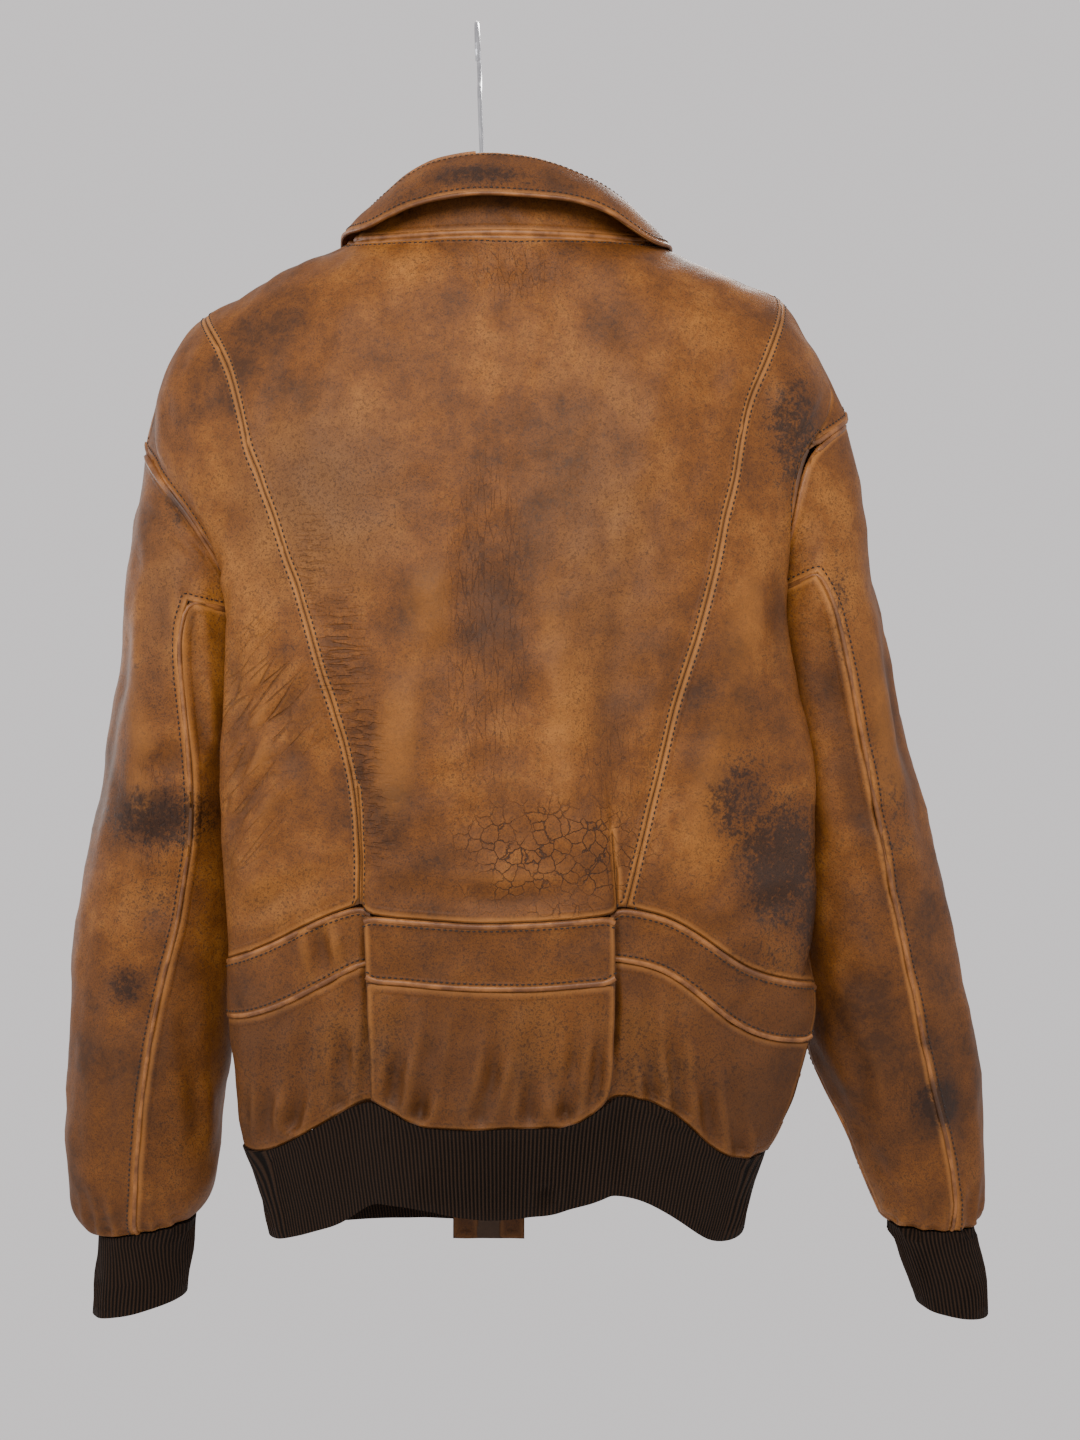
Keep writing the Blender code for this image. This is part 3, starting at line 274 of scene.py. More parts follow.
# The finish's cracks: a wandering net low on the back, and fine upright checks
bent = place.node("TexNoise", None, {"Vector": place, "Scale": 160.0, "Detail": 3.0}, out=1)
wander = bent.scaled((0.006, 0.006, 0.006))
wavy = place.node("VectorMath", {"operation": "ADD"}, {0: place, 1: wander})
net = wavy.cells(98)
upright = place.cells(210, stretch=(1, 1, 0.16))
cracks = (1 - net.rise(0.008, 0.046)) * crazed.rise(0.15, 0.9) * cloudy.rise(0.36, 0.56)
checks = (1 - upright.rise(0.015, 0.055)) * checked.rise(0.25, 0.7) * mottled.rise(0.42, 0.56)
colour = (cracks * 0.85 + checks * 0.5).blend(colour, CRACK)

# Stretched grain beside the seams, and slanting wrinkles under the arm, with painted shade darkening their
# grooves
pucker = (1 - place.grain(150, 2, 0.5, stretch=(0.35, 1, 2.2)).rise(0.40, 0.52)) * puckered
slanted = place.node("Mapping", {"vector_type": "TEXTURE"},
                     {"Vector": place, "Rotation": (0, math.radians(-46), 0)})
ditches = 1 - slanted.cells(62, stretch=(0.28, 0.5, 1.9)).rise(0.0, 0.10)
wrinkle = ditches * wrinkled * cloudy.rise(0.40, 0.56)
# Painted shade in the pucker and wrinkle grooves
colour = (pucker * 0.55 + wrinkle * 0.60).blend(colour, DEEP)

# Wear, stains and painted shade: pale rubbed seams and ridges, painted shade in crease troughs and low on
# the jacket, stains, and a dark line in the seam
rubbed = (1 - seam.rise(1.6, 5.2)) * (0.25 + cloudy * 0.55) * (1 - 0.75 * soiled)
colour = rubbed.blend(colour, RUBBED)
colour = (fold.rise(0.5, 3.2) * (0.30 - soiled * 0.22)).blend(colour, PALE)
# Painted shade: the troughs of the creases are darkened
colour = ((-1.0 * fold).rise(0.4, 3.5) * 0.45).blend(colour, DEEP)
# Stains, with the painted shade of the wide bands across the skirt among them
dirt_and_shade = (stain * (0.40 + cloudy * 0.95 + (mottled - 0.5) * 2.2 + (fine - 0.5) * 1.6)).rise(0.20, 0.80)
colour = (dirt_and_shade * 0.86).blend(colour, STAIN_AND_SHADE)
colour = ((1 - seam.rise(0.0, 0.8)) * 0.72).blend(colour, STAIN_AND_SHADE)
plug(shader, "Base Color", colour)
plug(shader, "Roughness", 0.53 + 0.18 * fine - 0.12 * dirt_and_shade - 0.06 * rubbed)
welt = seam.rise(0.0, 1.5) * 0.9 - seam.rise(5.0, 7.2) * 0.35
dent(shader, welt + mottled * 0.30 + fine * 0.20 + pores * 0.07 + cloudy * 0.5 - cracks * 0.45
     - checks * 0.22 - pucker * 0.9 - wrinkle * 0.8)

CUT_TURN = 0.9  # an edge that turns by more than this, in radians, is a cut edge of the leather


def opened(mesh):
    """A bmesh that holds this mesh's shape."""
    form = bmesh.new()
    form.from_mesh(mesh)
    return form


def packed(node):
    """A packed cloth solid with its loose triangles merged and joined back into squares."""
    made = opened(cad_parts[node].data)
    bmesh.ops.remove_doubles(made, verts=made.verts, dist=1e-5)
    bmesh.ops.join_triangles(made, faces=made.faces, angle_face_threshold=CUT_TURN,
                             angle_shape_threshold=math.pi)
    return made


def points_of(*nodes):
    """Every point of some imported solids."""
    return [vertex.co.copy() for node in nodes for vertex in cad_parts[node].data.vertices]


def tree_of(*nodes):
    """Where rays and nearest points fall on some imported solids."""
    points, faces = [], []
    for node in nodes:
        faces += [[len(points) + i for i in face.vertices]
                  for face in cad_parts[node].data.polygons]
        points += points_of(node)
    return BVHTree.FromPolygons(points, faces)


def nearest_of(points):
    """What finds the nearest of some points."""
    tree = KDTree(len(points))
    for index, point in enumerate(points):
        tree.insert(point, index)
    tree.balance()
    return tree


BODY = ["back_centre", "side_back_left", "side_back_right", "belt_centre", "belt_left",
        "belt_right", "skirt_centre", "skirt_left", "skirt_right", "front_left", "front_right",
        "rib_waist", "zip_tape", "front_tab_left", "front_tab_right"]
SLEEVES = {side: [f"upper_sleeve_{side}", f"under_sleeve_{side}", f"cuff_{side}"] for side in SIDES}
PARTS = {"body": BODY, "collar": ["collar_stand", "collar_fall"], **SLEEVES}
MIDDLE_X, HALF_WIDE, HALF_DEEP = 0.03, 0.22, 0.095  # the body's middle and half its sizes
NECK_X = 0.018
SHOULDER_TOP, SHOULDER_RUN, SHOULDER_LIFT = -0.31, 0.10, 1.2
AXIS_STEP = 0.03


def axis_of(nodes):
    """The middle line of a sleeve: heights, and the x and y of its middle at each."""
    points = np.array(points_of(*nodes))
    heights = np.arange(points[:, 2].min(), points[:, 2].max(), AXIS_STEP)
    middles = []
    for height in heights:
        ring = points[np.abs(points[:, 2] - height) < AXIS_STEP]
        middles.append([(ring[:, k].min() + ring[:, k].max()) / 2 for k in (0, 1)])
    return heights, np.array(middles)


AXES = {side: axis_of(nodes) for side, nodes in SLEEVES.items()}


def middle_at(side, height):
    """The x and y of a sleeve's middle at one height or at several."""
    heights, middles = AXES[side]
    return np.stack([np.interp(height, heights, middles[:, k]) for k in (0, 1)], axis=-1)


def outward(points, part):
    """The way out of the garment at each point, the same for both faces of its wall."""
    way = np.zeros_like(points)
    if part in AXES:
        way[:, :2] = points[:, :2] - middle_at(part, points[:, 2])
    elif part == "body":
        way[:, 0] = (points[:, 0] - MIDDLE_X) / HALF_WIDE ** 2
        way[:, 1] = points[:, 1] / HALF_DEEP ** 2
    else:
        way[:, 0], way[:, 1] = points[:, 0] - NECK_X, points[:, 1]
    way /= np.linalg.norm(way, axis=1, keepdims=True) + 1e-9
    if part == "body":
        way[:, 2] = np.clip((points[:, 2] - SHOULDER_TOP) / SHOULDER_RUN, 0, 1) * SHOULDER_LIFT
        way /= np.linalg.norm(way, axis=1, keepdims=True)
    return way


VIEWS = {"back": Vector((0, 1, 0)), "front": Vector((0, -1, 0)), "left": Vector((1, 0, 0)),
         "right": Vector((-1, 0, 0))}
TREES = {part: tree_of(*nodes) for part, nodes in PARTS.items()}


def lay(part, view, path, step=0.004):
    """A drawn line laid on the garment: from points (across, height) as seen in one view. It is
    first rounded into a smooth curve through its points."""
    rounded = []
    for before, start, end, after in zip([path[0], *path], path, path[1:], [*path[2:], path[-1]]):
        count = max(2, int(math.dist(start, end) / step))
        for t in (i / count for i in range(count)):
            rounded.append([0.5 * (2 * s + (e - b) * t + (2 * b - 5 * s + 4 * e - a) * t * t
                                   + (3 * s - b - 3 * e + a) * t ** 3)
                            for b, s, e, a in zip(before, start, end, after)])
    rounded.append(path[-1])
    found = []
    for across, height in rounded:
        far = Vector((0, across, height)) if view in SIDES else Vector((across, 0, height))
        hit = TREES[part].ray_cast(far - VIEWS[view], VIEWS[view])[0]
        if hit is not None:
            found.append(hit)
    return np.array(found) if len(found) > 2 else None


FOLDS = {part: [] for part in PARTS}
CREASE_REACH = 3.4  # half widths from its middle line at which a crease has died away


def crease(part, view, path, depth, half, lip=0.45, gathered=False):
    """One soft uneven trough with raised lips; a negative depth makes a ridge. A gathered one is
    deepest where its path starts."""
    line = lay(part, view, path)
    if line is not None:
        FOLDS[part].append((line, depth, half, lip, gathered))


def creases(part, view, rows):
    """Several creases: in each row the path's points, then the depth, the half width and the lip."""
    for *path, depth, half, lip in rows:
        crease(part, view, path, depth, half, lip)


def relief(points, part):
    """How far, in metres, every crease of the part moves each point outwards."""
    moved = np.zeros(len(points))
    for seed, (line, depth, half, lip, gathered) in enumerate(FOLDS[part]):
        reach = CREASE_REACH * half
        near = (points > line.min(axis=0) - reach) & (points < line.max(axis=0) + reach)
        picked = np.nonzero(np.all(near, axis=1))[0]
        if not len(picked):
            continue
        away = np.linalg.norm(points[picked, None, :] - line[None, :, :], axis=2)
        nearest = away.argmin(axis=1)
        along = nearest / (len(line) - 1)
        off = away[np.arange(len(picked)), nearest] / half
        strength = (1 - along) ** 0.8 if gathered else np.sin(math.pi * (0.04 + 0.92 * along)) ** 0.7
        strength *= 0.8 + 0.35 * np.sin(along * 9 + seed * 2.3)
        shape = -np.exp(-off ** 2) + lip * np.exp(-((off - 1.8) / 0.8) ** 2)
        moved[picked] += depth * strength * shape
    return moved


SOFTNESS = ((0.0022, 9.0, 4.5), (0.0013, 22.0, 13.0), (0.0006, 52.0, 36.0))  # depth, across, up
WAVES, WAVE_SPREAD, WAVE_SHARE = 7, 3.2, 2.6  # to a softness, and what they are scaled by


def drape(points):
    """The slow unevenness of soft leather: depth in metres at each point."""
    waves = np.random.default_rng(11)
    total = np.zeros(len(points))
    for depth, across, up in SOFTNESS:
        for _ in range(WAVES):
            way = waves.normal(size=3) * (across, across, up) * WAVE_SPREAD
            total += depth / WAVE_SHARE * np.sin(points @ way + waves.uniform(0, 6.3))
    return total


ARMPIT = -0.50


def near_body(nodes, reach):
    """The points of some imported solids, above the armpits, that lie against the body."""
    return [point for point in points_of(*nodes)
            if point.z > ARMPIT and TREES["body"].find_nearest(point, reach)[0] is not None]


# Drape dies away along each armhole and round the neck, above CALM_BELOW.
hole_tree = nearest_of([*near_body(SLEEVES["left"][:2], 0.014),
                        *near_body(SLEEVES["right"][:2], 0.014),
                        *near_body(["collar_stand"], 0.006)])
CALM_BELOW, CALM_REACH = -0.56, 0.03
HARD_TURN, WALL_MOST = math.radians(52), 0.0034  # a wall's edge that turns more keeps its corner
LEVELS, BAND_LEVELS = 3, 2          # how often a panel and a band are made finer
SEAM_ROLL, ROLL_WIDE = 0.0006, 2.4  # how far a cut edge sinks in m, and over what width in mm
LEVEL_RISE = 0.76                   # a level edge rises by less than this share of its length
FACES_OUT = 0.35                    # how squarely, from 0 to 1, an outer face looks outwards


def carry(mesh, values):
    """Stores values on a mesh's points, where its finish reads them."""
    for name, value in values.items():
        layer = mesh.attributes.new(name, "FLOAT", "POINT")
        layer.data.foreach_set("value", np.ascontiguousarray(value, np.float32))


def smoothed(mesh):
    """Shades every face of a mesh as part of one smooth surface."""
    mesh.polygons.foreach_set("use_smooth", np.ones(len(mesh.polygons), bool))


class Panel:
    """One cut piece of the garment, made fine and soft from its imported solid."""

    def __init__(self, node, part, levels=LEVELS, ribs=0):
        self.node, self.part = node, part
        rough = packed(node)
        sharp = rough.edges.layers.float.new("crease_edge")
        for edge in rough.edges:
            short = min(side.calc_length() for face in edge.link_faces for side in face.edges)
            if edge.calc_face_angle(0) > HARD_TURN and short < WALL_MOST:
                edge[sharp] = 1.0
        self.piece = placed(f"{node}_cloth", mesh_of(node, rough))
        smooth = self.piece.modifiers.new("smooth", "SUBSURF")
        smooth.levels = smooth.render_levels = levels
        graph = bpy.context.evaluated_depsgraph_get()
        fine = bpy.data.meshes.new_from_object(self.piece.evaluated_get(graph))
        self.piece.modifiers.clear()
        self.piece.data = fine
        fine.name = f"{node}_cloth"
        if ribs:
            self.split(ribs)
        self.measure()

    def split(self, ribs):
        """Cuts every square of a knitted band into upright strips."""
        band = opened(self.piece.data)
        level = [edge for edge in band.edges
                 if abs(edge.verts[0].co.z - edge.verts[1].co.z) < LEVEL_RISE * edge.calc_length()
                 and edge.calc_face_angle(0) < 1.0]
        bmesh.ops.subdivide_edges(band, edges=level, cuts=ribs, use_grid_fill=True)
        band.to_mesh(self.piece.data)
        band.free()

    def measure(self):
        """Reads the mesh's points and cut edges, and how many millimetres lie between them."""
        mesh = self.piece.data
        self.rest = np.empty(len(mesh.vertices) * 3)
        mesh.vertices.foreach_get("co", self.rest)
        self.rest = self.rest.reshape(-1, 3)
        self.points = self.rest.copy()
        form = opened(mesh)
        self.rim = []
        for edge in form.edges:
            if edge.calc_face_angle(0) > CUT_TURN:
                a, b = (vertex.co for vertex in edge.verts)
                self.rim += [a.lerp(b, t) for t in (0.0, 0.25, 0.5, 0.75)]
        form.free()
        edges = nearest_of(self.rim)
        self.seam = np.array([edges.find(point)[2] for point in self.rest]) * 1000

    def shape(self, soft=1.0, roll=SEAM_ROLL):
        """Moves both faces together: drape, creases and rolled seam edges."""
        way = outward(self.rest, self.part)
        calm = np.ones(len(self.rest))
        high = np.nonzero(self.rest[:, 2] > CALM_BELOW)[0]
        calm[high] = [min(1.0, hole_tree.find(point)[2] / CALM_REACH) for point in self.rest[high]]
        self.fold = relief(self.rest, self.part) * calm ** 0.5
        moved = self.fold + drape(self.rest) * calm * soft
        moved -= roll * np.exp(-(self.seam / ROLL_WIDE) ** 2)
        self.points = self.rest + way * moved[:, None]

    def dress(self, material, slot, flat, held, rests_on, area=None):
        mesh = self.piece.data
        mesh.vertices.foreach_set("co", self.points.ravel())
        carry(mesh, {"seam": self.seam, "fold": self.fold * 1000, **worn(self.rest, self.part)})
        smoothed(mesh)
        mesh.materials.append(material)
        edged = opened(mesh)
        for edge in edged.edges:
            edge.smooth = edge.calc_face_angle(0) < CUT_TURN
        edged.to_mesh(mesh)
        edged.free()
        mesh.update()
        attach(self.piece, "garment")
        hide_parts(self.node)

    def edge_to(self, *others, reach=0.004):
        """The points of this panel's cut edges that lie against some other panels."""
        beside = tree_of(*others)
        return [point for point in self.rim if beside.find_nearest(point, reach)[0] is not None]

    def outer_squares(self):
        """The four corners of each square on the panel's outer face."""
        mesh = self.piece.data
        squares = np.empty(len(mesh.polygons) * 4, np.int32)
        mesh.polygons.foreach_get("vertices", squares)
        squares = squares.reshape(-1, 4)
        one, two = (self.points[squares[:, k]] - self.points[squares[:, 0]] for k in (1, 2))
        facing = np.cross(one, two)
        way = outward(self.rest[squares[:, 0]], self.part)
        return squares[(facing * way).sum(axis=1) > FACES_OUT * np.linalg.norm(facing, axis=1)]

    def rows(self, edge, offset):
        """Lines on the outer face that keep one distance from some of the panel's edges: from
        square to square, through the points of their sides where that distance is met."""
        tree = nearest_of(edge)
        outer = self.outer_squares()
        used = np.unique(outer)
        off = np.full(len(self.rest), 1.0)
        off[used] = [tree.find(point)[2] for point in self.rest[used]]
        off -= offset
        signs = off[outer] > 0
        crossed = outer[signs.any(axis=1) & ~signs.all(axis=1)]
        steps = {}
        for square in crossed:
            ends = [(min(a, b), max(a, b)) for a, b in zip(square, np.roll(square, -1))
                    if (off[a] > 0) != (off[b] > 0)]
            if len(ends) == 2:
                steps.setdefault(ends[0], []).append(ends[1])
                steps.setdefault(ends[1], []).append(ends[0])
        lines, seen = [], set()
        for start in sorted(steps, key=lambda key: len(steps[key])):
            if start in seen:
                continue
            line, at = [], start
            while at is not None and at not in seen:
                seen.add(at)
                line.append(at)
                at = next((key for key in steps[at] if key not in seen), None)
            if len(line) > 4:
                spots = []
                for a, b in line:
                    t = off[a] / (off[a] - off[b])
                    spots.append(Vector(self.points[a] * (1 - t) + self.points[b] * t))
                lines.append(spots)
        return lines


MARKS = {part: [] for part in PARTS}
# Painted shade: the leather darkens the further it hangs below the hook, by these depths and shares
SHADE_FROM, SHADE_GROWS = (0.60, 0.68, 0.75, 0.81), (0.0, 0.30, 0.80, 1.0)  # by depth below the hook


def mark(part, view, kind, *spots):
    """Patches of one kind of wear, as seen in one view; some stain patches are painted shade. Each spot is
    its middle across, its height, half its width, half its height, and its strength."""
    MARKS[part] += [(view, kind, *spot) for spot in spots]


def worn(points, part):
    """The patches that a finish reads, from 0 to 1 at each point."""
    found = {name: np.zeros(len(points))
             for name in ("stain", "crazed", "checked", "greyed", "puckered", "wrinkled")}
    for view, kind, across, height, wide, tall, strength in MARKS[part]:
        side = points[:, 1] * (1 if view == "front" else -1)
        off = np.sqrt(((points[:, 0] - across) / wide) ** 2
                      + ((points[:, 2] - height) / tall) ** 2)
        fade = np.clip((side + 0.03) / 0.03, 0, 1) if part in ("body", "collar") else 1
        found[kind] = np.maximum(found[kind], strength * np.clip(1.35 - off, 0, 1) * fade)
    # Painted shade towards the bottom: full on the body, weaker on the sleeves and collar, with a little
    # more all over the collar
    low = np.interp(-points[:, 2], SHADE_FROM, SHADE_GROWS)
    found["soiled"] = low * (1.0 if part == "body" else 0.3) + (0.1 if part == "collar" else 0.0)
    return found


# ---- Back ------------------------------------------------
# A wide centre panel between two narrow side panels, with a deep pleat behind each seam for arm
# room. The seams are pressed flat and sewn down on both sides.

# Among these stains, the two wide bands across the skirt, at heights -0.77 and -0.78, are painted shade
# that darkens the lower back
mark("body", "back", "stain", (0.222, -0.632, 0.040, 0.055, 1.00), (0.19, -0.585, 0.035, 0.04, 0.75),
     (0.255, -0.67, 0.03, 0.06, 0.9), (0.20, -0.70, 0.05, 0.03, 0.45),
     (0.235, -0.32, 0.028, 0.06, 0.75), (-0.06, -0.37, 0.06, 0.05, 0.30),
     (-0.02, -0.50, 0.03, 0.09, 0.22), (0.12, -0.78, 0.16, 0.035, 0.34),
     (-0.10, -0.77, 0.14, 0.04, 0.36), (0.02, -0.69, 0.14, 0.018, 0.30),
     (0.17, -0.36, 0.03, 0.08, 0.28), (-0.04, -0.64, 0.03, 0.03, 0.35),
     (-0.13, -0.46, 0.03, 0.05, 0.25), (0.02, -0.20, 0.10, 0.03, 0.30))
mark("body", "back", "crazed", (0.055, -0.625, 0.085, 0.050, 1.0))
mark("body", "back", "checked", (0.01, -0.46, 0.04, 0.16, 0.8), (0.10, -0.56, 0.05, 0.07, 0.6),
     (0.03, -0.205, 0.05, 0.03, 0.7))
mark("body", "back", "puckered", (-0.092, -0.485, 0.016, 0.045, 1.0),
     (-0.076, -0.545, 0.014, 0.045, 1.0), (-0.066, -0.60, 0.012, 0.035, 0.8),
     (-0.112, -0.42, 0.012, 0.04, 0.6))
mark("body", "back", "wrinkled", (-0.152, -0.52, 0.040, 0.060, 1.0), (-0.168, -0.60, 0.030, 0.040, 0.8))
mark("body", "back", "greyed", (-0.11, -0.37, 0.06, 0.07, 0.85), (0.09, -0.40, 0.05, 0.12, 0.5))
mark("body", "front", "stain", (-0.10, -0.60, 0.05, 0.09, 0.5), (0.14, -0.55, 0.05, 0.07, 0.55),
     (0.05, -0.83, 0.20, 0.05, 0.4), (0.02, -0.30, 0.05, 0.05, 0.35))
mark("body", "front", "greyed", (0.16, -0.36, 0.06, 0.08, 0.6))
mark("body", "front", "checked", (-0.09, -0.45, 0.06, 0.09, 0.6))

creases("body", "back", [
    ((-0.178, -0.575), (-0.150, -0.535), (-0.112, -0.497), 0.0028, 0.006, 0.45),
    ((-0.180, -0.545), (-0.158, -0.515), (-0.128, -0.492), 0.0024, 0.006, 0.45),
    ((-0.176, -0.610), (-0.150, -0.575), (-0.125, -0.548), 0.0026, 0.007, 0.45),
    ((-0.182, -0.66), (-0.172, -0.56), (-0.176, -0.46), 0.0030, 0.014, 0.6),
    ((-0.105, -0.62), (-0.128, -0.55), (-0.142, -0.46), 0.0022, 0.013, 0.6),
    ((-0.058, -0.61), (-0.050, -0.52), (-0.030, -0.42), -0.0034, 0.020, 0.5),
    ((0.028, -0.60), (0.022, -0.52), (0.012, -0.40), 0.0026, 0.020, 0.6),
    ((0.100, -0.63), (0.096, -0.54), (0.104, -0.43), 0.0024, 0.018, 0.6),
    ((0.150, -0.64), (0.176, -0.54), (0.196, -0.42), -0.0030, 0.020, 0.5),
    ((0.222, -0.56), (0.226, -0.48), (0.222, -0.40), 0.0028, 0.014, 0.6),
    ((0.166, -0.66), (0.190, -0.625), (0.226, -0.60), 0.0018, 0.009, 0.5),
    ((0.158, -0.685), (0.196, -0.668), (0.238, -0.655), 0.0020, 0.008, 0.5),
    ((-0.055, -0.646), (0.015, -0.654), (0.085, -0.646), 0.0026, 0.008, 0.7),
    ((-0.168, -0.672), (-0.140, -0.655), (-0.104, -0.640), 0.0022, 0.008, 0.6),
    ((-0.176, -0.240), (-0.180, -0.30), (-0.177, -0.350), 0.0020, 0.012, 0.5),
    ((0.204, -0.250), (0.210, -0.29), (0.212, -0.335), 0.0020, 0.012, 0.5),
])
for across in (-0.012, 0.004, 0.021, 0.036, 0.052):
    crease("body", "back", [(across, -0.188), (across + 0.004, -0.206), (across - 0.002, -0.226)],
           0.0011, 0.0042, 0.5)
PUCKERS = random.Random(4)
SEAM_DEPTHS = (0.443, 0.488, 0.531, 0.571, 0.601)  # below the hook, along the left back seam
SEAM_ACROSS = (-0.117, -0.106, -0.0945, -0.0845, -0.0805)
for height in np.arange(-0.455, -0.60, -0.0105):
    across = np.interp(-height, SEAM_DEPTHS, SEAM_ACROSS)
    length = PUCKERS.uniform(0.012, 0.024)
    crease("body", "back", [(across + 0.005, height), (across + length * 0.6, height + 0.002),
                            (across + length, height + PUCKERS.uniform(-0.002, 0.006))], 0.0011, 0.0036)


def cut_leather(node, part, flat, held, rests_on, area=None, soft=1.0):
    """A panel cut from the leather: shaped and finished."""
    panel = Panel(node, part)
    panel.shape(soft)
    panel.dress(leather, "leather", flat, held, rests_on, area)
    return panel


SIDE_CUT = {"left": ((0.20, 0.49), 0.066), "right": ((0.20, 0.515), 0.069)}
back_centre = cut_leather("back_centre", "body", (0.46, 0.56), "hung", ["hanger_bar"], 0.170)
side_backs = {side: cut_leather(f"side_back_{side}", "body", flat, "hung", ["back_centre"], area)
              for side, (flat, area) in SIDE_CUT.items()}

THREAD, THREAD_LONG, THREAD_PITCH, TOPSTITCH = 0.00068, 0.0030, 0.0041, 0.0034

thread, shader, place = finish_of("brown_thread", Roughness=0.7)
twist = place.grain(2600, 2, 0.5)
plug(shader, "Base Color", twist.blend(srgb(14, 8, 4), srgb(40, 23, 11)))
dent(shader, twist * 0.05)


def trimming(name, form, material):
    """A bmesh made into a piece of the garment, in one finish."""
    mesh = mesh_of(name, form)
    mesh.materials.append(material)
    piece = placed(name, mesh)
    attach(piece, "garment")
    return piece


def sewn(name, panel, edge, offset):
    """A row of lockstitches sunk into a panel's outer face beside one of its edges."""
    made = bmesh.new()
    for line in panel.rows(edge, offset):
        spare = 0.0
        for start, end in zip(line, line[1:]):
            run = end - start
            length = run.length
            if length < 1e-6:
                continue
            while spare < length:
                spot = start + run * (spare / length)
                out = Vector(outward(np.array([spot]), panel.part)[0])
                side = run.cross(out).normalized()
                turned = Matrix((run.normalized(), side, run.cross(side).normalized())).transposed()
                size = Matrix.Diagonal((THREAD_LONG / 2, THREAD, THREAD, 1))
                bmesh.ops.create_icosphere(made, subdivisions=1, radius=1.0,
                                           matrix=Matrix.Translation(spot) @ turned.to_4x4() @ size)
                spare += THREAD_PITCH
            spare -= length
    smoothed(trimming(name, made, thread).data)


for side, panel in side_backs.items():
    sewn(f"back_seam_outer_{side}", panel, panel.edge_to("back_centre"), TOPSTITCH)
    sewn(f"back_seam_inner_{side}", back_centre, back_centre.edge_to(f"side_back_{side}"), TOPSTITCH)

# ---- Belt and skirt --------------------------------------
# A half belt in three lengths sits on the waist with both edges turned and stitched. The skirt
# below it is gathered into the knitted band, so it falls in short soft flutes.

FLUTES = [  # across and height of the foot, how far the top leans, depth
    (-0.150, -0.828, 0.004, 0.0026), (-0.128, -0.815, 0.010, 0.0030), (-0.094, -0.800, 0.004, 0.0034),
    (-0.055, -0.793, 0.006, 0.0030), (-0.036, -0.803, 0.012, 0.0030), (0.006, -0.806, 0.016, 0.0036),
    (0.040, -0.806, 0.006, 0.0024), (0.066, -0.804, 0.010, 0.0034), (0.086, -0.796, 0.004, 0.0030),
    (0.128, -0.795, -0.004, 0.0030), (0.148, -0.806, -0.008, 0.0034), (0.172, -0.828, -0.008, 0.0030),
    (0.192, -0.838, -0.010, 0.0026),
]
for across, low, lean, depth in FLUTES:
    crease("body", "back", [(across, low), (across + lean * 0.5, low + 0.025),
                            (across + lean, low + 0.075)], depth * 1.5, 0.0055, 0.8, gathered=True)
creases("body", "back", [
    ((-0.113, -0.664), (-0.107, -0.69), (-0.102, -0.716), 0.0044, 0.006, 0.9),
    ((0.196, -0.722), (0.190, -0.735), (0.184, -0.746), 0.0018, 0.005, 0.6),
    ((0.1003, -0.655), (0.1003, -0.73), (0.0985, -0.785), 0.0046, 0.0030, 0.15),
    ((-0.0757, -0.655), (-0.0745, -0.72), (-0.0710, -0.775), 0.0036, 0.0030, 0.15),
])

BELT_CUT = {"left": (0.150, 0.051), "centre": (0.177, 0.050), "right": (0.145, 0.052)}
SKIRT_CUT = {"left": (0.160, 0.105), "centre": (0.196, 0.106), "right": (0.160, 0.105)}
belts = {side: cut_leather(f"belt_{side}", "body", flat, "hung", ["back_centre"])
         for side, flat in BELT_CUT.items()}
for side, flat in SKIRT_CUT.items():
    cut_leather(f"skirt_{side}", "body", flat, "gathered", [f"belt_{side}"])

piping, shader, place = finish_of("rubbed_edge_leather", Specular_IOR_Level=0.45)
blotch = place.grain(60, 4, 0.6)
fleck = place.grain(700, 3, 0.6)
edge_tone = blotch.rise(0.35, 0.68).blend(srgb(94, 54, 19), srgb(146, 92, 42))
edge_tone = (fleck.rise(0.58, 0.72) * 0.4).blend(edge_tone, DEEP)
# Stains carried from the leather's patches, with a little of the skirt's painted shade
marked = (place.carried("stain") * (0.5 + blotch * 0.9)).rise(0.20, 0.75) * 0.8
plug(shader, "Base Color", marked.blend(edge_tone, STAIN_AND_SHADE))
plug(shader, "Roughness", 0.42 + 0.2 * fleck)
dent(shader, blotch * 0.2 + fleck * 0.08)

BREAK = 0.016            # the longest break that a roll runs across
LEAST, LOOK_BACK = 7, 6  # points in a line that is kept, and those that give its end's direction


def runs_on(first, then):
    """Whether one line starts just past another's end, the way that it was going."""
    step = then[0] - first[-1]
    return step.length < BREAK and step.dot(first[-1] - first[-LOOK_BACK]) > 0


def chained(lines):
    """Lines joined where one runs on from another across a short break."""
    left, found = [line for line in lines if len(line) > LEAST], []
    while left:
        line, grown = left.pop(0), True
        while grown:
            grown = False
            for other in left:
                joined = [[*first, *then] for way in (other, other[::-1])
                          for first, then in ((line, way), (way, line)) if runs_on(first, then)]
                if joined:
                    line, grown = joined[0], True
                    left.remove(other)
                    break
        found.append(line)
    return found


SLIM_ROLL = (0.0013, 0.0004, 0.0010)  # radius, how far it is sunk, distance from the cut edge
ARMHOLE_ROLL = (0.0024, 0.0010, 0.0003)


